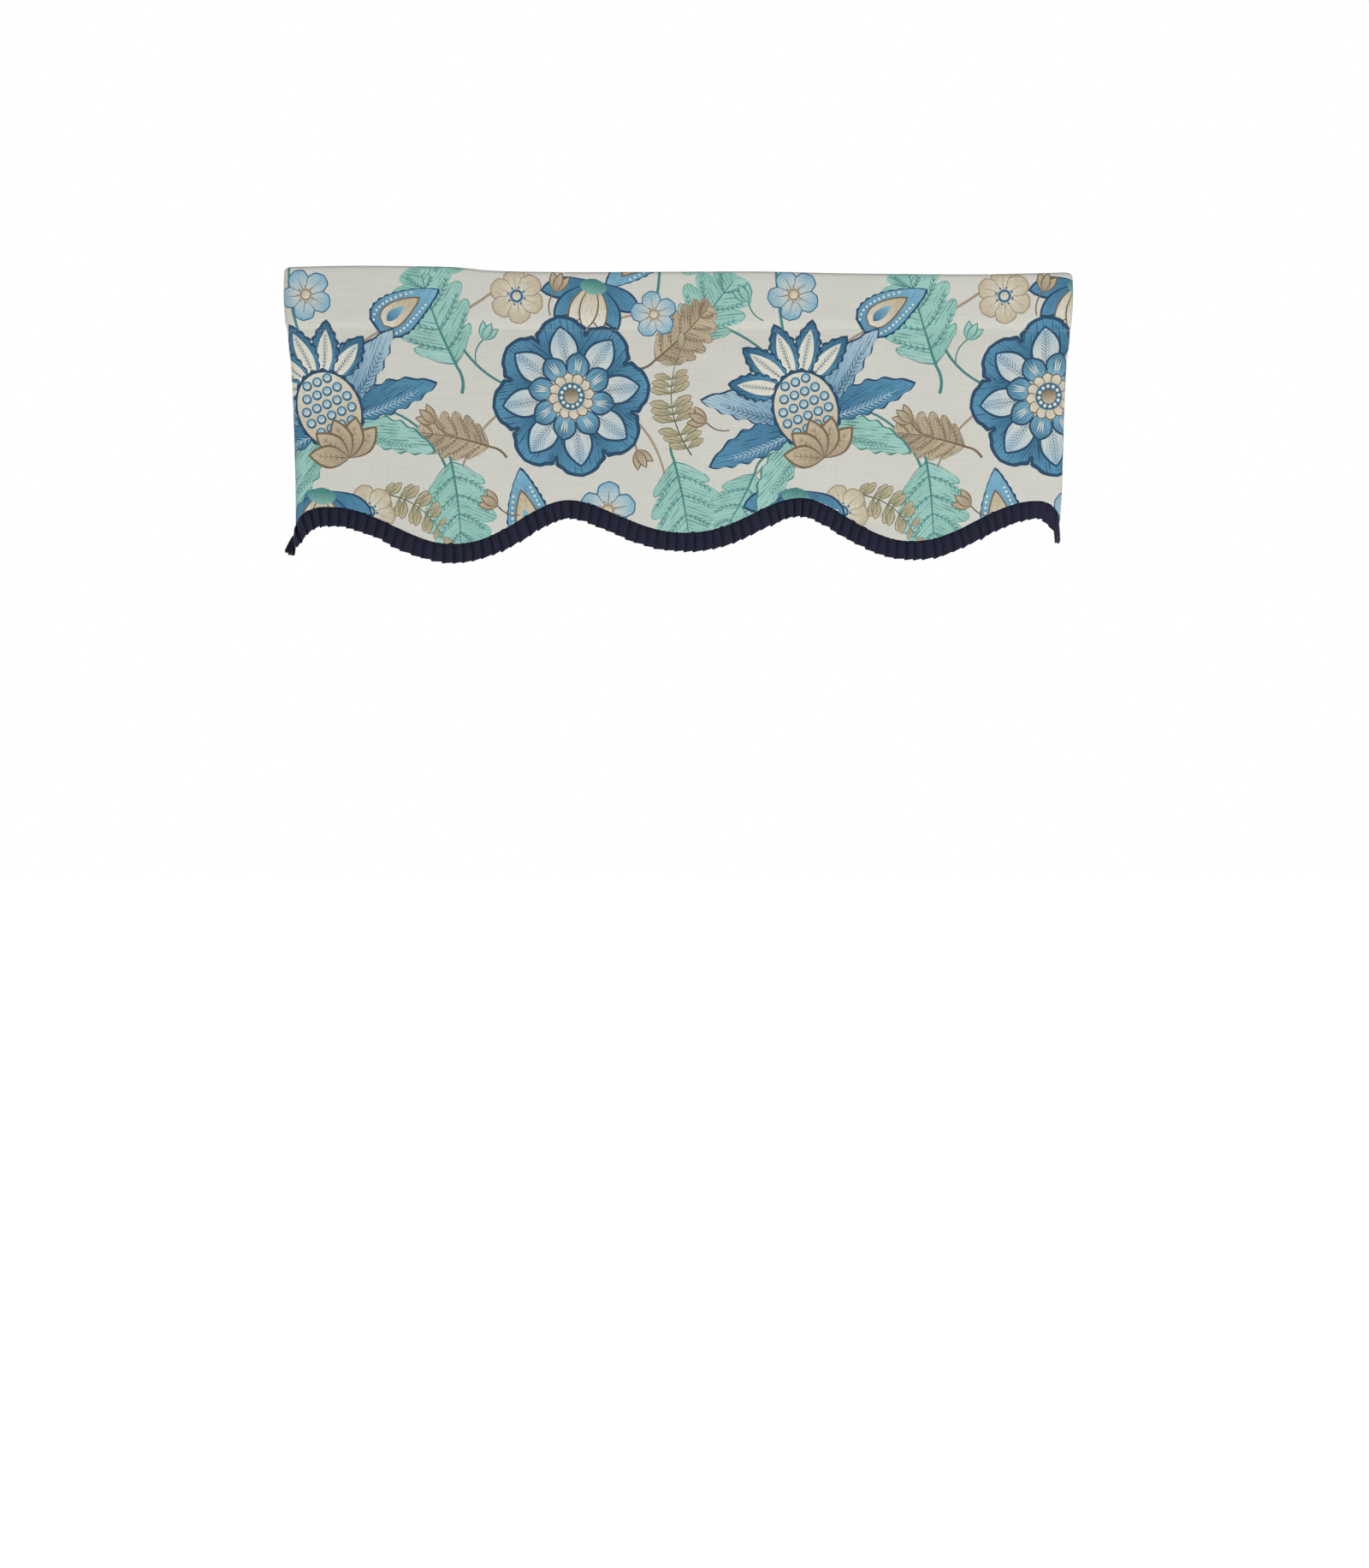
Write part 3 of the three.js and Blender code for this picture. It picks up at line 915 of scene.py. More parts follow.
@dataclass(frozen=True)
class Pomegranate:
    """A tall palmette: a seeded oval in a cup of pointed leaves, with fronds and a spread crown."""

    height: float = 142.0
    width: float = 104.0
    rows: int = 6

    def fronds(self) -> list[Region]:
        """Draw the side fronds.

        Returns:
            Their regions.
        """
        h, w = self.height, self.width
        drawn: list[Region] = []
        for side in (-1, 1):
            for long, wide, turn, inks, vein in (
                (0.92, 0.44, 116, (Ink.TEAL, Ink.SEAFOAM, Ink.MINT), Ink.TEAL),
                (1.0, 0.46, 80, (Ink.NAVY, Ink.DEEP_BLUE, Ink.BLUE), Ink.PALE_BLUE),
                (1.04, 0.44, 46, (Ink.NAVY, Ink.BLUE, Ink.PALE_BLUE), Ink.NAVY),
            ):
                bend = side * 26.0
                frond = bordered(
                    (h * long, w * wide + 4, 14.0), (h * long - 5, w * wide, 15.0), inks,
                    straight_axis(h * long, 10), 0.9, 4.4,
                    belly=0.48, point=0.72, bend=bend, steps=32, teeth=6, cut=0.2,
                )
                spine = bow((0, 20), (bend * 0.8, h * long * 0.9), -0.05 * side, 8)
                frond += herringbone(spine, w * 0.12, 13, vein, 1.5, 1.5)
                drawn += moved(frond, (0, -h * 0.12), -side * turn)
        return drawn

    def crown(self) -> list[Region]:
        """Draw the crown of pale petals with serrated blue edges.

        Returns:
            Its regions.
        """
        h, w = self.height, self.width
        part = bordered(
            (h * 0.62, w * 0.42, h * 0.1), (h * 0.58, w * 0.36, h * 0.11),
            (Ink.NAVY, Ink.BLUE, Ink.DEEP_BLUE), straight_axis(h * 0.5, h * 0.16), 1.0, 4.0,
            belly=0.5, point=0.85, steps=24, teeth=7, cut=0.2,
        )
        pale = petal(h * 0.5, w * 0.2, belly=0.5, point=0.85, steps=10, start=h * 0.12)
        part.append(Region(pale, Ink.CREAM))
        spine = bow((0, h * 0.2), (0, h * 0.6), 0, 6)
        part += herringbone(spine, w * 0.07, 10, Ink.DEEP_BLUE, 1.2, 1.4)
        return moved(ring(part, 5, -62.0, 155.0), (0, h * 0.24))

    def seeds(self) -> list[Region]:
        """Draw the oval body with its rows of seeds.

        Returns:
            Its regions.
        """
        h, w = self.height, self.width
        middle = h * 0.05
        rim = disc(w * 0.46, steps=40, tall=1.22, wave=0.03, waves=20) + (0.0, middle)
        body = disc(w * 0.42, steps=36, tall=1.22) + (0.0, middle)
        drawn = [
            Region(rim, Ink.NAVY),
            Region(body, Ink.TAN, Ink.CREAM, straight_axis(h * 0.8, -h * 0.3), 0.3, 2.6),
        ]
        pitch = w * 0.15
        for row in range(self.rows):
            y = middle + (row - (self.rows - 1) / 2) * pitch * 1.06
            reach = math.sqrt(max(1 - ((y - middle) / (w * 0.46)) ** 2, 0.0)) * w * 0.32
            count = 1 + int(2 * reach / pitch)
            for k in range(count):
                x = (k - (count - 1) / 2) * pitch
                seed, shine = disc(pitch * 0.46, (x, y), 12), disc(pitch * 0.3, (x, y + 0.8), 10)
                drawn.append(Region(seed, Ink.DEEP_BLUE))
                drawn.append(Region(shine, Ink.CREAM, Ink.SKY, straight_axis(8.0, y - 4.0)))
        return drawn

    def regions(self) -> list[Region]:
        """Draw the palmette.

        Returns:
            Its regions, from the lowest to the topmost.
        """
        h, w = self.height, self.width
        cup = bordered(
            (h * 0.42, w * 0.32, 0.0), (h * 0.38, w * 0.26, 1.5), (Ink.BROWN, Ink.TAUPE, Ink.TAN),
            straight_axis(h * 0.36), 0.5, 2.2, belly=0.5, point=0.9,
        )
        cup += herringbone(bow((0, 4), (0, h * 0.32), 0, 4), w * 0.07, 5, Ink.BROWN)
        cup = moved(ring(cup, 5, -64.0, 160.0), (0, -h * 0.46))
        return [*self.fronds(), *self.crown(), *self.seeds(), *cup]


@dataclass(frozen=True)
class Paisley:
    """A bent drop with a dotted border and a smaller drop inside."""

    length: float = 104.0
    width: float = 62.0

    def regions(self) -> list[Region]:
        """Draw the drop.

        Returns:
            Its regions, from the lowest to the topmost.
        """
        n, w = self.length, self.width
        dots = []
        for k in range(11):
            t = 0.06 + 0.066 * k
            for side in (-1, 1):
                half = w * 0.41 * math.sin(math.pi * t**0.55) ** 0.75
                at = (26 * t * t + side * half * 0.93, n * t)
                dots.append(Region(disc(1.9, at, 8), Ink.CREAM))
        outer, inner = dict(belly=0.3, point=0.75), dict(belly=0.34, point=0.75, steps=12)
        edge = petal(n + 7, w + 8, bend=28, steps=20, teeth=10, cut=0.07, start=-4, **outer)
        body = petal(n, w, bend=26, steps=16, **outer)
        rim = petal(n * 0.68, w * 0.6, bend=14, start=n * 0.08, **inner)
        drop = petal(n * 0.62, w * 0.52, bend=13, start=n * 0.1, **inner)
        eye = petal(n * 0.34, w * 0.24, belly=0.4, point=0.9, bend=5, steps=8, start=n * 0.17)
        return [
            Region(edge, Ink.NAVY),
            Region(body, Ink.BLUE, Ink.SKY, straight_axis(n), 0.5, 2.8),
            *dots,
            Region(rim, Ink.BROWN),
            Region(drop, Ink.CREAM, Ink.TAN, straight_axis(n * 0.6), 0.4, 2.6),
            Region(eye, Ink.DEEP_BLUE, Ink.SKY, straight_axis(n * 0.3, n * 0.17)),
        ]


@dataclass(frozen=True)
class Spray:
    """A curved stem with paired leaflets."""

    length: float = 120.0
    pairs: int = 9
    leaflet: float = 30.0
    body: Ink = Ink.OLIVE
    light: Ink = Ink.TAN
    vein: Ink = Ink.MOSS

    def regions(self) -> list[Region]:
        """Draw the spray.

        Returns:
            Its regions, from the lowest to the topmost.
        """
        n, axis = self.leaflet, straight_axis(self.leaflet)
        stem = bow((0, 0), (10, self.length), 0.14, 16)
        drawn = [Region(ribbon(stem, 2.4, 1.0), self.vein)]
        for k in range(self.pairs):
            t = 0.08 + 0.9 * k / self.pairs
            size = math.sin(math.pi * (0.2 + 0.72 * t)) ** 0.6
            for side in (-1, 1):
                shape = dict(belly=0.55, point=0.75, bend=side * 4.0, teeth=3)
                rib = bow((0, 0), (side * 3.0, n * 0.8), 0, 4)
                leaflet = [
                    Region(petal(n, 15.0, cut=0.16, **shape), self.vein),
                    Region(petal(n - 2, 12.0, cut=0.14, start=1.0, **shape), self.body,
                           self.light, axis, 0.5, 2.2),
                    Region(ribbon(rib, 1.4, 0.5), self.vein),
                ]
                drawn += moved(leaflet, stem[int(t * 15)], -side * 62.0, size)
        top = bordered((n, 15.0, 0.0), (n - 2, 12.0, 1.0), (self.vein, self.body, self.light), axis,
                       0.5, 2.2, belly=0.5)
        return drawn + moved(top, stem[-1], -14.0, 0.8)


@dataclass(frozen=True)
class Blossom:
    """A small open flower."""

    petals: int = 5
    reach: float = 40.0
    edge: Ink = Ink.DEEP_BLUE
    body: Ink = Ink.CREAM
    tip: Ink = Ink.SKY
    heart: Ink = Ink.TAUPE

    def regions(self) -> list[Region]:
        """Draw the flower.

        Returns:
            Its regions, from the lowest to the topmost.
        """
        r = self.reach
        part = bordered(
            (r, r * 0.86, 0.0), (r * 0.93, r * 0.76, 1.0), (self.edge, self.body, self.tip),
            straight_axis(r), 0.5, 2.2, belly=0.62, point=0.62, bend=2, steps=12, teeth=3, cut=0.1,
        )
        part.append(Region(ribbon(bow((0, 5), (2, r * 0.7), 0, 3), 1.6, 0.5), self.edge))
        return [
            *ring(part, self.petals),
            Region(disc(r * 0.24, steps=14), self.heart),
            Region(disc(r * 0.15, steps=12), Ink.CREAM, Ink.TAN, straight_axis(r * 0.3, -r * 0.15)),
            *ring([Region(disc(1.7, (0.0, r * 0.3), 7), self.heart)], 8, 20.0),
        ]


@dataclass(frozen=True)
class Bell:
    """A flower seen from the side: dark outer petals round a pale striped cup."""

    height: float = 78.0

    def regions(self) -> list[Region]:
        """Draw the flower.

        Returns:
            Its regions, from the lowest to the topmost.
        """
        h = self.height
        drawn: list[Region] = []
        for turn in (-62, 62, -34, 34):
            dark = bordered(
                (h, h * 0.42, 0.0), (h * 0.93, h * 0.34, 1.5), (Ink.NAVY, Ink.DEEP_BLUE, Ink.BLUE),
                straight_axis(h), 0.6, 2.6, belly=0.6, bend=-turn * 0.12, steps=12,
            )
            drawn += moved(dark, (0, -2), turn)
        for turn in (-20, 20, 0):
            pale = bordered(
                (h * 0.86, h * 0.36, 0.0), (h * 0.81, h * 0.3, 1.5),
                (Ink.BROWN, Ink.TAN, Ink.CREAM), straight_axis(h * 0.7), 0.5, 2.4,
                point=0.7, steps=12,
            )
            drawn += moved(pale, (0, 2), turn)
        cup = petal(h * 0.3, h * 0.5, belly=0.5, point=0.6, steps=12, start=-h * 0.06)
        return [*drawn, Region(cup, Ink.TEAL, Ink.SEAFOAM, straight_axis(h * 0.3), 0.4, 2.2)]


@dataclass(frozen=True)
class Bud:
    """A small closed bud on a short stalk."""

    height: float = 30.0
    edge: Ink = Ink.BROWN
    body: Ink = Ink.TAUPE
    tip: Ink = Ink.TAN

    def regions(self) -> list[Region]:
        """Draw the bud.

        Returns:
            Its regions, from the lowest to the topmost.
        """
        h = self.height
        part = bordered(
            (h, h * 0.46, 0.0), (h * 0.9, h * 0.34, 0.8), (self.edge, self.body, self.tip),
            straight_axis(h), 0.5, 1.8, belly=0.48, point=0.9,
        )
        drawn = [Region(ribbon(bow((5, -34), (0, 0), 0.14, 6), 1.8, 2.2), self.edge)]
        for turn in (-26, 26, 0):
            drawn += moved(part, turn=turn)
        return drawn


@dataclass(frozen=True)
class Stem:
    """A long bowed stem between two places on the cloth."""

    start: tuple[float, float]
    end: tuple[float, float]
    sag: float
    ink: Ink = Ink.TAUPE
    width: float = 4.2

    def regions(self) -> list[Region]:
        """Draw the stem."""
        line = bow(self.start, self.end, self.sag, 20)
        return [Region(ribbon(line, self.width, self.width * 0.7), self.ink)]


@dataclass(frozen=True)
class Placing:
    """A motif at its place in the printed repeat."""

    motif: Any
    along: float
    up: float
    turn: float
    size: float = 1.0

    def regions(self, shift: Floats) -> list[Region]:
        """Draw the motif, with the repeat shifted along and up the cloth."""
        at = np.array([self.along, self.up]) + shift
        return moved(self.motif.regions(), at, self.turn, self.size)


BROWN_LEAF = Leaf(118.0, 84.0, 6, 0.3, -14.0, 0.5, Ink.TAUPE, Ink.TAN, Ink.BROWN)
SMALL_LEAF = Leaf(100.0, 92.0, 4)
TAN_BLOSSOM = Blossom(6, 40.0, Ink.TAUPE, Ink.CREAM, Ink.TAN, Ink.DEEP_BLUE)
BLUE_BLOSSOM = Blossom()
TEAL_BUD = Bud(28.0, Ink.TEAL, Ink.SEAFOAM, Ink.MINT)


@dataclass(frozen=True)
class Print:
    """The floral print: one repeat of motifs and stems, copied along and up with a half drop."""

    repeat: float = 690.0
    first: float = -1365.0
    copies: int = 4
    rows: int = 2
    row_height: float = 400.0
    stems: tuple[Stem, ...] = (
        Stem((170, -190), (345, -70), 0.2),
        Stem((345, -70), (520, -170), -0.2, Ink.TEAL),
        Stem((520, -170), (640, -60), 0.22),
        Stem((640, -60), (860, -190), 0.14, Ink.TEAL),
        Stem((520, -170), (350, -320), -0.2),
        Stem((350, -320), (170, -190), -0.22, Ink.TEAL),
        Stem((520, -170), (660, -330), 0.2),
        Stem((660, -330), (860, -190), -0.16),
        Stem((345, -70), (517, 196), -0.16),
        Stem((170, -190), (175, 222), 0.12, Ink.TEAL),
        Stem((640, -60), (517, 196), -0.2, Ink.TEAL),
    )
    placings: tuple[Placing, ...] = (
        Placing(Leaf(), 356, -136, 24, 1.25),
        Placing(Leaf(length=116.0), 344, -268, -168, 1.15),
        Placing(SMALL_LEAF, 2, -104, -28, 1.15),
        Placing(Leaf(), 668, -268, 196, 1.15),
        Placing(SMALL_LEAF, 96, -286, 158),
        Placing(BROWN_LEAF, 402, -250, 72, 0.9),
        Placing(BROWN_LEAF, 640, -128, -52, 0.95),
        Placing(Spray(150.0, 10, 34.0), 694, -262, 10),
        Placing(Spray(), 236, -316, -118, 0.95),
        Placing(Paisley(), 250, -84, -42, 0.95),
        Placing(Paisley(), 470, -386, 28),
        Placing(Paisley(), 640, 46, 150, 0.9),
        Placing(TAN_BLOSSOM, 446, -36, 10),
        Placing(BLUE_BLOSSOM, 148, -34, 30, 0.95),
        Placing(BLUE_BLOSSOM, 572, -340, 0, 1.05),
        Placing(TAN_BLOSSOM, 224, -342, 20),
        Placing(Bell(), 556, -16, 168),
        Placing(Bell(), 156, -312, 176, 1.05),
        Placing(Bud(), 322, -216, 50),
        Placing(Bud(), 614, -254, -150),
        Placing(TEAL_BUD, 396, -98, -30),
        Placing(TEAL_BUD, 84, -44, 30),
        Placing(Bud(), 412, -334, 60),
        Placing(Bud(), 500, -30, -20),
        Placing(Bud(), 26, -216, 64),
        Placing(BLUE_BLOSSOM, 640, -62, 12, 0.85),
        Placing(Pomegranate(), 172, -204, 22, 1.02),
        Placing(Rosette(), 520, -178, 8, 0.98),
    )

    def regions(self) -> list[Region]:
        """Draw the whole print.

        Returns:
            Every region, from the lowest to the topmost.
        """
        shifts = [
            np.array([self.first + self.repeat * (k + row / 2), self.row_height * row])
            for row in range(self.rows) for k in range(self.copies)
        ]
        drawn: list[Region] = []
        for shift in shifts:
            for stem in self.stems:
                drawn += Placing(stem, 0, 0, 0).regions(shift)
        for placing in self.placings:
            for shift in shifts:
                drawn += placing.regions(shift)
        return drawn


# ---- mesh helpers ----


def only(piece: bpy.types.Object) -> None:
    """Select one object and make it active."""
    bpy.ops.object.select_all(action="DESELECT")
    piece.select_set(True)
    bpy.context.view_layer.objects.active = piece


def make_piece(name: str, points: Floats, faces: Sequence[Sequence[int]]) -> bpy.types.Object:
    """Make an object from points in millimetres.

    Args:
        name: the piece's name.
        points: its vertices, one a row.
        faces: the vertices of each face.

    Returns:
        The piece, linked to the scene.
    """
    mesh = bpy.data.meshes.new(name)
    mesh.from_pydata((points * MM).tolist(), [], faces)
    piece = bpy.data.objects.new(name, mesh)
    bpy.context.scene.collection.objects.link(piece)
    return piece


def thicken(piece: bpy.types.Object, thickness: float, offset: float, inner_slot: int) -> None:
    """Give a sheet its thickness.

    Args:
        piece: the sheet.
        thickness: in millimetres.
        offset: -1 keeps the sheet as the outer side, 0 as the middle.
        inner_slot: how many material slots further on the inner side's finish is.
    """
    only(piece)
    shell = piece.modifiers.new("thickness", "SOLIDIFY")
    shell.thickness = thickness * MM
    shell.offset = offset
    shell.use_quality_normals = True
    shell.material_offset = inner_slot
    bpy.ops.object.modifier_apply(modifier=shell.name)
    bpy.ops.object.shade_smooth_by_angle(angle=SMOOTH_BELOW)


def set_flat_map(piece: bpy.types.Object, flat: Floats) -> None:
    """Store the flat measures, one row for each vertex, as the piece's map in metres."""
    corners = np.empty(len(piece.data.loops), np.int32)
    piece.data.loops.foreach_get("vertex_index", corners)
    piece.data.uv_layers.new(name="flat").data.foreach_set("uv", (flat[corners] * MM).ravel())


def dress(piece: bpy.types.Object, nodes: Sequence[str] = ()) -> None:
    """Fix a piece to the body and hide the solids that it stands for.

    Args:
        piece: the piece.
        nodes: the solids' names.
    """
    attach(piece, "root")
    if nodes:
        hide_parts(*nodes)
    log.info("%s: %d faces", piece.name, len(piece.data.polygons))


# ---- finishes ----


def weave(x: Wire, y: Wire, thread: float) -> Wire:
    """Give the height of a plain weave of threads."""
    return (x * (math.tau / thread)).sine() * (y * (math.tau / thread)).sine()


@dataclass(frozen=True)
class ClothFinish:
    """Off-white slubbed linen weave. A show of 1 is the printed side, a faint one the reverse."""

    name: str
    ground: Colour = (0.53, 0.53, 0.48)
    show: float = 1.0
    thread: float = 0.0009
    slub_along: float = 16.0
    slub_across: float = 620.0
    pen: Colour = (0.36, 0.42, 0.46)
    seam: float = -0.0845
    pucker: float = 0.0078
    pucker_reach: float = 0.016

    def build(self) -> bpy.types.Material:
        """Make the material.

        Returns:
            The material.
        """
        g = Graph(self.name)
        x, y = g.flat()
        wefts = g.noise(x * self.slub_along, y * self.slub_across, 3.0)
        warps = g.noise(x * self.slub_across, y * self.slub_along, 3.0)
        cloud = g.noise(x * 9.0, y * 9.0)
        slub = wefts * 0.62 + warps * 0.38
        cloth = g.toned(self.ground, slub * 0.34 + cloud * 0.06 + 0.8)
        inked, strength = g.attribute("ink", "Color"), g.attribute("ink", "Alpha")
        across, upward, printed = g.parts(g.attribute("hatch", "Vector"))
        grain = g.noise(x * 260.0, y * 260.0)
        over, run = x * across + y * upward, y * across - x * upward
        streaks = g.noise(over * 1.1, run * 0.16)
        lines = (over * math.tau).sine() * 0.45 + streaks * 3.4 + grain * 0.8 - 2.1
        drawn = g.mix(lines.between(0.0, 0.9) * strength, inked, g.toned(inked, self.pen))
        shade = g.toned(drawn, slub * 0.5 + 0.76)
        near = (y - self.seam).math("ABSOLUTE").between(self.pucker_reach, 0.0)
        pucker = (x * (math.tau / self.pucker) + cloud * 16.0).sine() * near
        height = weave(x, y, self.thread) * 0.05 + slub * 0.22 + pucker * 0.16
        return g.finish(
            Base_Color=g.mix(printed * self.show, cloth, shade), Roughness=slub * 0.12 + 0.82,
            Sheen_Weight=0.08, Sheen_Roughness=0.6, Specular_IOR_Level=0.25,
            Normal=g.bump(height, 0.001, 0.8),
        )


@dataclass(frozen=True)
class CottonFinish:
    """Plain-woven navy cotton."""

    name: str = "navy_cotton"
    colour: Colour = (0.007, 0.008, 0.025)
    thread: float = 0.0005

    def build(self) -> bpy.types.Material:
        """Make the material.

        Returns:
            The material.
        """
        g = Graph(self.name)
        x, y = g.flat()
        wefts = g.noise(x * 30.0, y * 900.0)
        warps = g.noise(x * 900.0, y * 30.0)
        tone = wefts * 0.3 + warps * 0.3 + 0.7
        height = weave(x, y, self.thread) * 0.04 + wefts * 0.1
        return g.finish(
            Base_Color=g.toned(self.colour, tone), Roughness=tone * 0.1 + 0.68,
            Sheen_Weight=0.1, Sheen_Roughness=0.45, Sheen_Tint=(0.42, 0.45, 0.7),
            Specular_IOR_Level=0.3, Normal=g.bump(height, 0.001, 0.7),
        )


@dataclass(frozen=True)
class ThreadFinish:
    """Twisted sewing thread."""

    name: str
    colour: Colour
    twist: float = 0.0006

    def build(self) -> bpy.types.Material:
        """Make the material.

        Returns:
            The material.
        """
        g = Graph(self.name)
        x, y, z = g.parts(g.add("ShaderNodeTexCoord", {}, {}, "Object"))
        twist = ((x + y + z * 1.6) * (math.tau / self.twist)).sine()
        return g.finish(
            Base_Color=g.toned(self.colour, twist * 0.12 + 0.88), Roughness=0.7,
            Normal=g.bump(twist, 0.00008, 0.6),
        )


# ---- the printed cloth ----


SAME_POINT = 1e-4
STRAIGHTENINGS = 3
# The cloth's rows of points round the seam, as heights above it, in front and behind.
SEAM_ROWS = np.array([-20.0, -14, -9, -5, -2, 0, 2, 5, 9])
BACK_ROWS = np.array([32.0, 24, 17, 10, 5, 1.5, -1, -4])
BACK_REACH = 40.0


def cut_sheet(points: Floats, edges: Sequence[Sequence[int]], outline: Floats,
              regions: Sequence[Region]) -> tuple[Floats, Floats, Floats]:
    """Cut a flat sheet into triangles along given lines.

    Args:
        points: the flat points.
        edges: the lines, as pairs of points.
        outline: the sheet's own edge; nothing outside it is kept.
        regions: the print, from the lowest ink to the topmost.

    Returns:
        The points, the triangles and each triangle's topmost region, -1 for bare cloth.
    """
    flat_points = [Vector(point) for point in points.tolist()]
    cut = delaunay_2d_cdt(flat_points, edges, [], 0, SAME_POINT, False)
    flat = np.array([tuple(point) for point in cut[0]])
    corners = np.array([tuple(face) for face in cut[2]])
    middle = flat[corners].mean(axis=1)
    kept = inside(outline, middle)
    corners, middle = corners[kept], middle[kept]
    topmost = np.full(len(corners), -1)
    for number, region in enumerate(regions):
        low, high = region.outline.min(axis=0), region.outline.max(axis=0)
        near = np.flatnonzero(((middle > low) & (middle < high)).all(axis=1))
        topmost[near[inside(region.outline, middle[near])]] = number
    return flat, corners, topmost


def visible_borders(placed: Floats, corners: Floats, topmost: Floats, tolerance: float) -> Floats:
    """Find the lines where one ink meets another or the sheet ends, without needless points.

    Args:
        placed: the points where they hang.
        corners: the triangles.
        topmost: each triangle's topmost region.
        tolerance: how far a point may lie from the line between its neighbours and still go.

    Returns:
        The lines, as pairs of points.
    """
    sides = np.sort(corners[:, [[0, 1], [1, 2], [2, 0]]].reshape(-1, 2), axis=1)
    shown = np.repeat(topmost, 3)
    order = np.lexsort(sides.T)
    sides, shown = sides[order], shown[order]
    twice = (sides[1:] == sides[:-1]).all(axis=1)
    rim = sides[~(np.append(twice, False) | np.append(False, twice))]
    fixed = set(rim.ravel().tolist())
    links: list[set[int]] = [set() for _ in placed]
    for a, b in sides[1:][twice & (shown[1:] != shown[:-1])].tolist():
        links[a].add(b)
        links[b].add(a)
    at = [Vector(point) for point in placed.tolist()]
    for _ in range(STRAIGHTENINGS):
        rested: set[int] = set()
        for middle, ends in enumerate(links):
            if len(ends) != 2 or middle in fixed or middle in rested:
                continue
            a, b = ends
            run = at[b] - at[a]
            if b in links[a] or run.cross(at[middle] - at[a]).length > tolerance * run.length:
                continue
            for one, other in ((a, b), (b, a)):
                links[one].remove(middle)
                links[one].add(other)
                rested.add(one)
            ends.clear()
    lines = [(a, b) for a, ends in enumerate(links) for b in ends if a < b]
    return np.concatenate([rim, np.array(lines)])


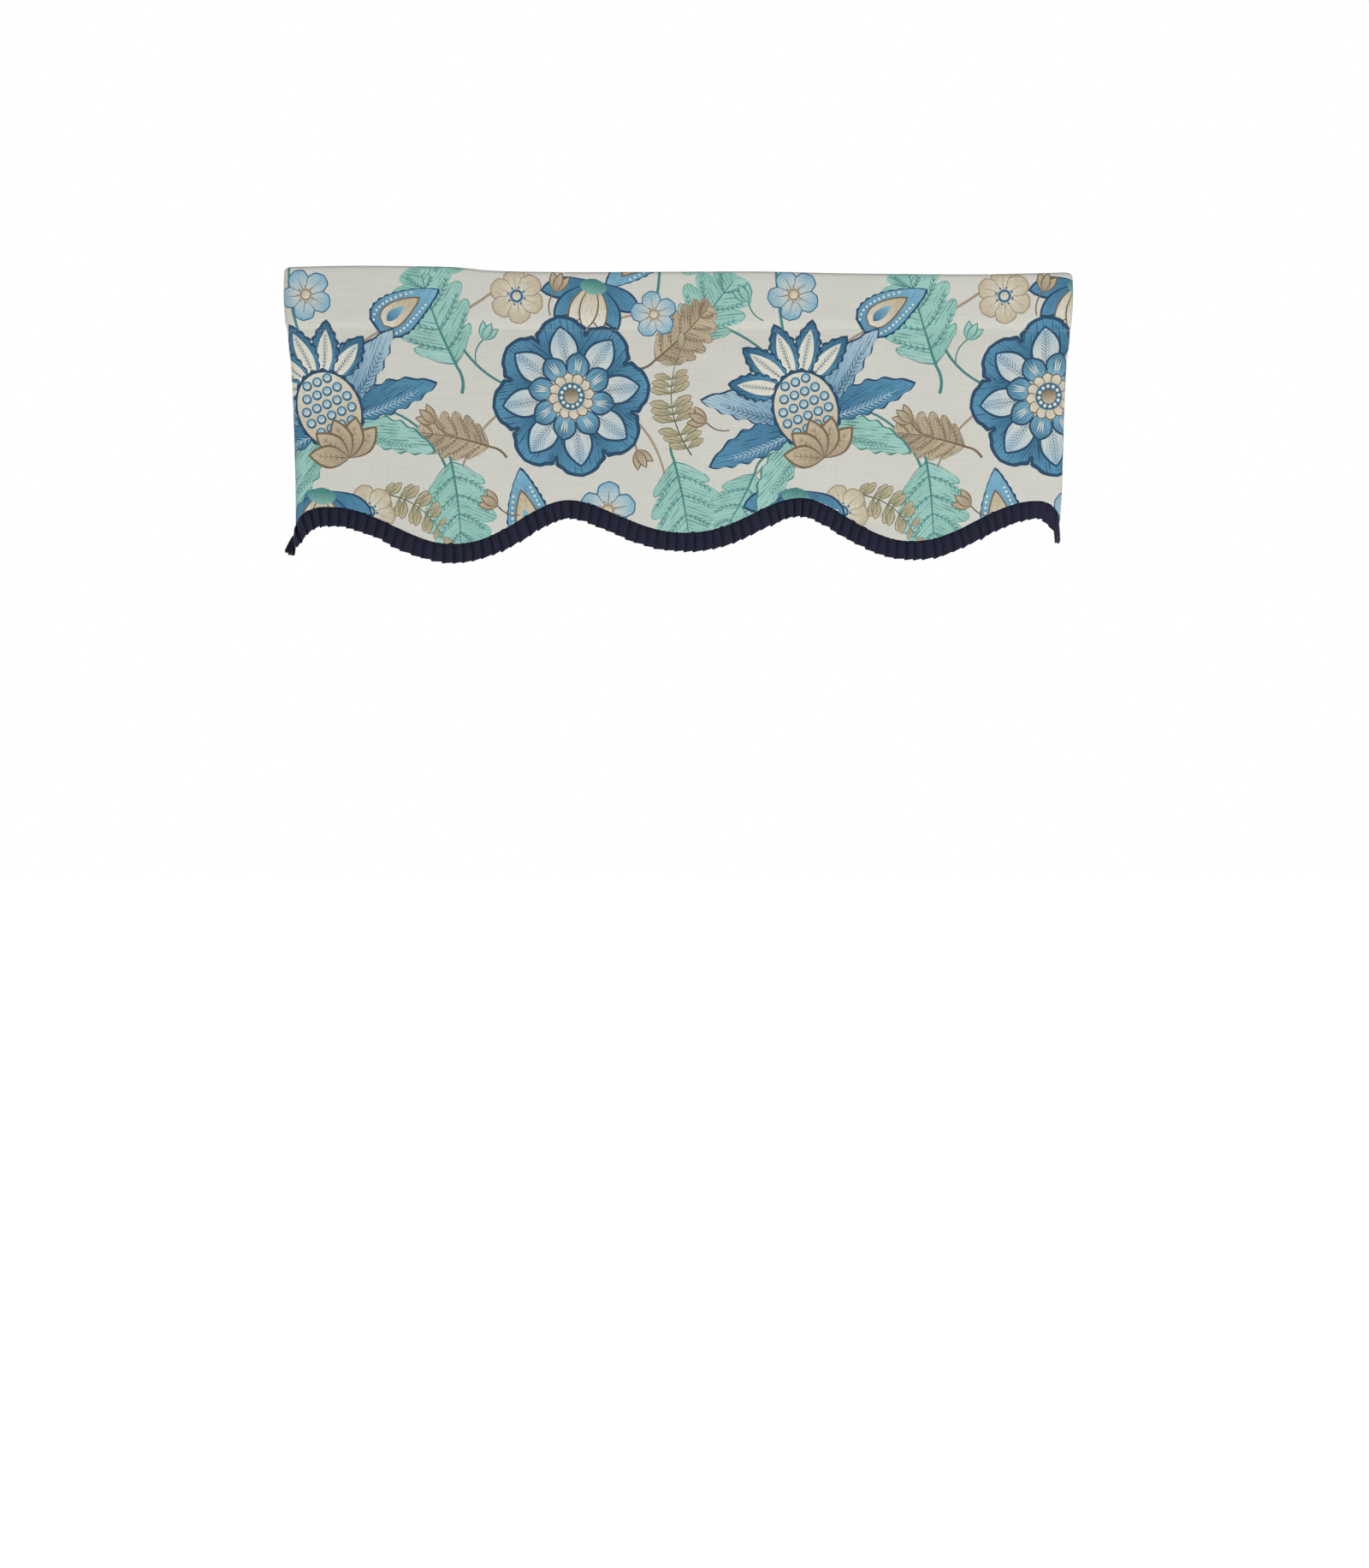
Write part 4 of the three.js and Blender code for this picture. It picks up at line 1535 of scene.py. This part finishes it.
@dataclass
class PrintedCloth:
    """The one piece of cloth: front, returns, top fold, pocket, side hems and turned lower edge."""

    hang: Hang
    design: Print
    thickness: float = 0.55
    side_hem: float = 12.0
    hem_turn: float = 8.0
    front_step: float = 8.4
    skirt_step: float = 8.4
    straightening: float = 0.12
    halvings: int = 5
    spare: float = 3.0
    fine_step: float = 4.0
    margin: float = 5.0
    name: str = "valance_cloth"

    def columns(self) -> Floats:
        """Choose the flat distances at which the sheet has its points.

        Returns:
            The distances.
        """
        hang, radius = self.hang, self.hang.turn_radius
        bend = hang.straight + hang.corner_length
        roll = hang.half_length + radius * math.pi * np.linspace(0, 1, 6)
        side = np.concatenate([
            np.linspace(hang.straight, bend, 11)[1:],
            np.linspace(bend, hang.half_length - 1.5, 9)[1:],
            roll,
            np.linspace(roll[-1], hang.half_length + self.side_hem, 3)[1:],
        ])
        steps = round(2 * hang.straight / self.front_step)
        front = np.linspace(-hang.straight, hang.straight, steps + 1)
        return np.concatenate([-side[::-1], front, side])

    def rows(self, along: float) -> Floats:
        """Choose the flat heights of the points in one column.

        Args:
            along: the column's distance along the cloth.

        Returns:
            The measures "up", from the turned lower edge to the pocket's raw edge.
        """
        hang, radius = self.hang, self.hang.turn_radius
        beyond, _ = hang.turned(np.array([abs(along) - hang.half_length]))
        near = math.copysign(hang.half_length + beyond[0], along)
        hem = float(hang.hem(near))
        top = float(hang.band_top(near))
        arc = math.pi * hang.fold_radius
        end = 2 * top + arc
        steps = round((hang.seam_z - hang.pinch_below - hem) / self.skirt_step)
        return np.concatenate([
            hem - np.array([self.hem_turn, 5.0]),
            hem - radius * math.pi * np.linspace(1, 0, 6),
            [hem + 1.5],
            np.linspace(hem + 4.0, hang.seam_z - hang.pinch_below, steps + 1),
            hang.seam_z + SEAM_ROWS,
            np.linspace(hang.seam_z + hang.pinch_above, top, 9),
            top + arc * np.linspace(0, 1, 10)[1:],
            np.linspace(top + arc, end - hang.seam_z - BACK_REACH, 6)[1:],
            end - hang.seam_z - np.append(BACK_ROWS, -hang.seam_allowance),
        ])

    def follow(self, loops: Sequence[Floats], low: Floats, high: Floats) -> list[Floats]:
        """Add points to closed outlines where their lines would cut across a bend of the cloth.

        Args:
            loops: the outlines.
            low: the lower corner of the flat cloth; lines outside its box stay as they are.
            high: its upper corner.

        Returns:
            The outlines with their added points.
        """
        points = np.concatenate(loops)
        owner = np.repeat(np.arange(len(loops)), [len(loop) for loop in loops])
        for _ in range(self.halvings):
            last = np.append(owner[1:] != owner[:-1], True)
            following = np.where(last, np.searchsorted(owner, owner), np.arange(1, len(owner) + 1))
            ends = points[following]
            here, there = self.hang.face(*points.T), self.hang.face(*ends.T)
            bulge = np.zeros(len(points))
            for share in (1 / 3, 2 / 3):
                between = self.hang.face(*(points + (ends - points) * share).T)
                off = np.linalg.norm(between - here - (there - here) * share, axis=1)
                bulge = np.maximum(bulge, off)
            within = ((points > low) & (points < high) & (ends > low) & (ends < high)).all(axis=1)
            split = np.flatnonzero(within & (bulge > self.straightening))
            points = np.insert(points, split + 1, (points[split] + ends[split]) / 2, axis=0)
            owner = np.insert(owner, split + 1, owner[split])
        return np.split(points, np.flatnonzero(np.diff(owner)) + 1)

    def knit(self) -> tuple[Floats, Floats, Floats, list[Region]]:
        """Cut the flat cloth along the outlines of the print.

        The first cut follows every outline and shows which ink is on top where. The second follows
        only the lines that show, so that nothing is cut along a line that another ink covers.

        Returns:
            The flat points, the triangles, each triangle's topmost region (-1 for bare cloth) and
            the regions.
        """
        columns = self.columns()
        grid = [np.stack([np.full_like(rows, along), rows], axis=1)
                for along, rows in ((along, self.rows(along)) for along in columns)]
        outline = np.concatenate([
            [column[0] for column in grid],
            grid[-1][1:-1],
            [column[-1] for column in grid[::-1]],
            grid[0][-2:0:-1],
        ])
        inner = np.concatenate([column[1:-1] for column in grid[1:-1]])
        steps = [np.minimum(np.gradient(column[:, 1]), side_step)
                 for column, side_step in zip(grid, np.gradient(columns))]
        wide = np.concatenate([step[1:-1] for step in steps[1:-1]]) > self.fine_step
        low, high = outline.min(axis=0) - self.margin, outline.max(axis=0) + self.margin
        regions = [r for r in self.design.regions()
                   if (r.outline.max(axis=0) > low).all() and (r.outline.min(axis=0) < high).all()]
        loops = [outline, *self.follow([region.outline for region in regions], low, high)]
        starts = np.cumsum([0, *(len(loop) for loop in loops)])
        edges = [
            (start + k, start + (k + 1) % len(loop))
            for start, loop in zip(starts.tolist(), loops)
            for k in range(len(loop))
        ]
        flat, corners, topmost = cut_sheet(np.concatenate(loops), edges, outline, regions)
        placed = self.hang.face(*flat.T)
        borders = visible_borders(placed, corners, topmost, self.straightening)
        used, edges = np.unique(borders, return_inverse=True)
        held = KDTree(len(used))
        for number, at in enumerate(flat[used].tolist()):
            held.insert((*at, 0.0), number)
        held.balance()
        apart = np.array([held.find((*at, 0.0))[2] for at in inner.tolist()]) > self.spare
        points = np.concatenate([flat[used], inner[apart | ~wide]])
        flat, corners, topmost = cut_sheet(points, edges.reshape(-1, 2).tolist(), outline, regions)
        return flat, corners, topmost, regions

    def build(self) -> bpy.types.Object:
        """Make the cloth with its print.

        Returns:
            The finished piece.
        """
        flat, corners, topmost, regions = self.knit()
        used, corners = np.unique(corners, return_inverse=True)
        flat, corners = flat[used], corners.reshape(-1, 3)
        points = self.hang.face(flat[:, 0], flat[:, 1])
        piece = make_piece(self.name, points, corners.tolist())
        set_flat_map(piece, flat)
        ink = np.zeros((len(corners), 3, 4), np.float32)
        hatch = np.zeros((len(corners), 3, 3), np.float32)
        for number in np.unique(topmost[topmost >= 0]):
            here = topmost == number
            region = regions[number]
            ink[here] = region.colours(flat[corners[here]].reshape(-1, 2)).reshape(-1, 3, 4)
            hatch[here] = (*region.hatching, 1.0)
        mesh = piece.data
        for name, kind, key, values in (
            ("ink", "FLOAT_COLOR", "color", ink), ("hatch", "FLOAT_VECTOR", "vector", hatch),
        ):
            mesh.attributes.new(name, kind, "CORNER").data.foreach_set(key, values.ravel())
        for finish in (
            ClothFinish("printed_side"), ClothFinish("reverse_side", (0.64, 0.62, 0.56), 0.1),
        ):
            mesh.materials.append(finish.build())
        thicken(piece, self.thickness, -1.0, 1)
        nodes = [f"{span}_{part}" for part in ("cloth", "pocket") for span in SPANS]
        dress(piece, nodes)
        width = 2 * (self.hang.half_length + self.side_hem)
        height = flat[:, 1].max() - flat[:, 1].min()
        a, b, c = (flat[corners[:, k]] for k in range(3))
        area = 0.5 * np.abs(np.cross(b - a, c - a)).sum()
        width * MM
        height * MM
        log.info("cloth cut %.0f x %.0f mm, %d printed regions", width, height, len(regions))
        return piece


# ---- the ruffle ----


@dataclass
class PleatedRuffle:
    """The folded navy strip, laid in knife pleats behind the wavy edge."""

    hang: Hang
    thickness: float = 0.42
    pitch: float = 13.8
    pitch_unevenness: float = 0.13
    relief: float = 4.4
    relief_unevenness: float = 0.32
    sway: float = 1.7
    lean: float = 0.5
    closing: float = 0.6
    edge_unevenness: float = 0.7
    edge_lift: float = 2.2
    heading_depth: float = 1.8
    hem_room: float = 1.6
    hem_easing: float = 4.0
    length: float = 28.5
    tuck: float = 7.0
    name: str = "pleated_ruffle"
    profile: tuple[tuple[float, float], ...] = (
        (-0.01, -0.08), (0.1, -0.05), (0.2, 0.04), (0.34, 0.5), (0.6, 0.84), (0.88, 1.0),
        (0.975, 0.98), (1.01, 0.9), (0.98, 0.78), (0.86, 0.7), (0.66, 0.5), (0.5, 0.34),
        (0.46, 0.2), (0.5, 0.06), (0.7, -0.02), (0.88, -0.02),
    )

    def edges(self) -> list[float]:
        """Choose where the pleats start and end, closer together where the hem runs steeply.

        Returns:
            The distances along the hem.
        """
        end = self.hang.half_length
        edges = [-end]
        while edges[-1] < end - self.pitch / 2:
            rise = float(self.hang.hem_slope(np.array(edges[-1] + self.pitch / 2)))
            pitch = self.pitch * (1 + self.pitch_unevenness * unevenness(len(edges)))
            edges.append(edges[-1] + pitch / math.hypot(1, self.closing * rise))
        edges[-1] = end
        return edges

    def columns(self) -> Floats:
        """Lay out the strip's folds.

        Returns:
            A row for each column: its place along, its stand, its pleat's height, its drop and its
            sway at the foot.
        """
        rows = []
        edges = self.edges()
        for pleat, (start, end) in enumerate(zip(edges, edges[1:])):
            height = self.relief * (1 + self.relief_unevenness * unevenness(pleat + 500))
            level = self.edge_unevenness * unevenness(pleat + 900)
            near, far = (self.sway * unevenness(pleat + k + 300) for k in (0, 1))
            for across, stand in self.profile:
                at, drop = start + across * (end - start), level - self.edge_lift * across
                rows.append((at, stand, height, drop, near + (far - near) * across))
        rows.append((edges[-1], 0.0, self.relief, 0.0, 0.0))
        return np.array(rows)

    def build(self) -> bpy.types.Object:
        """Make the ruffle.

        Returns:
            The finished piece.
        """
        hang = self.hang
        columns = self.columns()
        downs = np.array([-7, -3, 0, 1.2, 2.6, 4.5, 7, 10.5, 14.5, 18.5, 22.5, 25.5, 27.6, 28.5])
        along, stand, height, drop, sway = (column[:, None] for column in columns.T)
        row_down = np.broadcast_to(downs, (len(columns), len(downs)))
        opened = RUFFLE_FALL.smooth("open", row_down).clip(0, 1)
        lean = self.lean * hang.hem_slope(along)
        steep = np.hypot(1, lean)
        length = RUFFLE_STANDS.even("length", along)
        down = row_down * np.where(opened > 0, length, 1.0) + opened * drop
        at = along + opened * (down * lean / steep + sway * down / self.length)
        at = np.clip(at, -hang.half_length, hang.half_length)
        z = hang.hem(along) - down / steep
        relief = height * stand * RUFFLE_STANDS.even("relief", along)
        kick = RUFFLE_STANDS.even("kick", along)
        sewn = hang.front_inward(np.array(hang.hem_level))
        inward = sewn + RUFFLE_FALL.smooth("inward", row_down) - opened * relief
        inward -= (1 - opened) * (stand - 0.5) * self.heading_depth + np.maximum(down, 0) * kick
        hem_from = hang.half_length - hang.hem_from
        inward += self.hem_room * ease(np.abs(along), hem_from - self.hem_easing, hem_from)
        points = hang.place(at, z, inward).reshape(-1, 3)
        wide, tall = row_down.shape
        number = np.arange(wide * tall).reshape(wide, tall)
        before, after = number[:-1], number[1:]
        quads = np.stack([before[:, 1:], after[:, 1:], after[:, :-1], before[:, :-1]], axis=-1)
        piece = make_piece(self.name, points, quads.reshape(-1, 4).tolist())
        near_foot = points.reshape(wide, tall, 3)[:, -4]
        run = np.append(0.0, np.cumsum(np.linalg.norm(np.diff(near_foot, axis=0), axis=1)))
        flat = np.stack([np.broadcast_to(run[:, None], (wide, tall)), -row_down], axis=-1)
        set_flat_map(piece, flat.reshape(-1, 2))
        piece.data.materials.append(CottonFinish().build())
        thicken(piece, self.thickness, 0.0, 0)
        dress(piece, [f"{span}_ruffle" for span in SPANS])
        log.info("ruffle strip %.0f mm long in %d pleats", run[-1], len(self.edges()) - 1)
        return piece


# ---- stitching ----


@dataclass
class Stitching:
    """Rows of short sewn stitches that lie on the cloth's printed side."""

    hang: Hang
    pitch: float = 3.3
    length: float = 2.5
    thread: float = 0.42
    end_gap: float = 2.0
    hem_inset: float = 10.0
    hem_gap: float = 3.0
    past_fold: float = 4.0
    name: str = "pocket_stitching"

    def stitch(self) -> tuple[Floats, list[list[int]]]:
        """Shape one stitch: a small flattened loop of thread, rounded at both ends.

        Returns:
            Its points and its faces.
        """
        bpy.ops.object.select_all(action="DESELECT")
        bpy.ops.mesh.primitive_uv_sphere_add(segments=6, ring_count=5, radius=0.5)
        shaped = bpy.context.object
        bpy.ops.object.mode_set(mode="EDIT")
        bpy.ops.mesh.select_all(action="SELECT")
        bpy.ops.transform.resize(value=(self.thread * 1.3, self.thread, self.length))
        bpy.ops.object.mode_set(mode="OBJECT")
        points = np.array([tuple(v.co) for v in shaped.data.vertices])
        # Blender lists a primitive's faces in another order from run to run.
        faces = sorted(list(face.vertices) for face in shaped.data.polygons)
        bpy.data.meshes.remove(shaped.data)
        return points[:, [2, 0, 1]], faces

    def lines(self) -> list[tuple[Floats, Floats]]:
        """Choose the sewn lines.

        Returns:
            Flat distances and measures "up" at even steps along each line.
        """
        hang = self.hang
        end = hang.half_length
        across = np.arange(-end + self.end_gap, end - self.end_gap / 2, self.pitch)
        top = hang.band_top(across)
        behind = 2 * top + math.pi * hang.fold_radius - hang.seam_z
        rows = [(across, np.full_like(across, hang.seam_z)), (across, behind)]
        for side in (-1.0, 1.0):
            at = side * (end - self.hem_inset)
            foot = float(hang.hem(at)) + self.hem_gap
            up = np.arange(foot, float(hang.band_top(at)) + self.past_fold, self.pitch)
            rows.append((np.full_like(up, at), up))
        return rows

    def build(self) -> bpy.types.Object:
        """Make all the stitches as one piece.

        Returns:
            The finished piece.
        """
        shape, shape_faces = self.stitch()
        points, faces = [], []
        for line, (along, up) in enumerate(self.lines()):
            level = line < 2
            reach = (1.0, 0.0) if level else (0.0, 1.0)
            centre = self.hang.face(along, up, 0.05)
            ahead = self.hang.face(along + reach[0], up + reach[1], 0.05) - centre
            ahead /= np.linalg.norm(ahead, axis=1, keepdims=True)
            outward = self.hang.face(along, up, 1.0) - self.hang.face(along, up, 0.0)
            outward /= np.linalg.norm(outward, axis=1, keepdims=True)
            aside = np.cross(outward, ahead)
            for at, x, y, z in zip(centre, ahead, aside, outward):
                start = len(points) * len(shape)
                points.append(at + shape @ np.stack([x, y, z]))
                faces += [[start + corner for corner in face] for face in shape_faces]
        piece = make_piece(self.name, np.concatenate(points), faces)
        only(piece)
        bpy.ops.object.shade_smooth()
        piece.data.materials.append(ThreadFinish("cream_thread", (0.6, 0.58, 0.5)).build())
        dress(piece)
        return piece


# ---- the studio ----


@dataclass(frozen=True)
class Studio:
    """A pale floor, soft light from the front and a level camera."""

    camera_at: tuple[float, float, float] = (0.0085, -3.2055, -0.728)
    aim: tuple[float, float, float] = (0.0, 0.0, -0.2)
    lens: float = 51.8
    floor_z: float = -2.1
    backdrop: float = 1.0
    fill: float = 0.385

    def camera(self) -> None:
        """Set up the camera."""
        data = bpy.data.cameras.new("camera")
        data.lens = self.lens
        data.sensor_width = 36.0
        data.clip_end = 200.0
        camera = bpy.data.objects.new("camera", data)
        camera.location = self.camera_at
        camera.rotation_euler = (math.pi / 2, 0.0, 0.0)
        bpy.context.scene.collection.objects.link(camera)
        bpy.context.scene.camera = camera

    def lamp(self, name: str, at: tuple[float, float, float], size: float, power: float) -> None:
        """Hang a square soft light that faces the valance.

        Args:
            name: the light's name.
            at: where it is, in metres.
            size: its side.
            power: in watts.
        """
        data = bpy.data.lights.new(name, "AREA")
        data.size = size
        data.energy = power
        lamp = bpy.data.objects.new(name, data)
        lamp.location = at
        lamp.rotation_euler = (Vector(self.aim) - Vector(at)).to_track_quat("-Z", "Y").to_euler()
        bpy.context.scene.collection.objects.link(lamp)

    def build(self) -> None:
        """Set up the floor, the lights and the surroundings."""
        bpy.ops.object.select_all(action="DESELECT")
        bpy.ops.mesh.primitive_plane_add(size=60.0, location=(0.0, 0.0, self.floor_z))
        floor = bpy.context.object
        floor.name = "floor"
        floor.data.materials.append(Graph("pale_floor").finish(
            Base_Color=(0.9, 0.9, 0.9), Emission_Color=(1.0, 1.0, 1.0), Emission_Strength=0.7,
            Roughness=0.9,
        ))
        self.lamp("key", (1.2, -2.7, -1.4), 1.4, 41.0)
        self.lamp("left", (-2.4, -1.6, -0.5), 1.2, 7.0)
        self.lamp("high", (-0.3, -1.6, 2.2), 1.6, 5.0)
        world = bpy.data.worlds.new("surroundings")
        bpy.context.scene.world = world
        world.use_nodes = True
        sky = world.node_tree.nodes["Background"]
        sky.inputs["Color"].default_value = (1.0, 1.0, 1.0, 1.0)
        sky.inputs["Strength"].default_value = self.fill
        path = world.node_tree.nodes.new("ShaderNodeLightPath")
        level = world.node_tree.nodes.new("ShaderNodeMapRange")
        level.inputs["To Min"].default_value = self.fill
        level.inputs["To Max"].default_value = self.backdrop
        world.node_tree.links.new(path.outputs["Is Camera Ray"], level.inputs["Value"])
        world.node_tree.links.new(level.outputs["Result"], sky.inputs["Strength"])
        bpy.context.scene.view_settings.view_transform = "Standard"


def main() -> None:
    """Build the scene."""
    logging.basicConfig(level=logging.INFO, format="%(name)s: %(message)s")
    studio = Studio()
    studio.camera()
    hang = Hang()
    PrintedCloth(hang, Print()).build()
    PleatedRuffle(hang).build()
    Stitching(hang).build()
    studio.build()


if __name__ == "__main__":
    main()
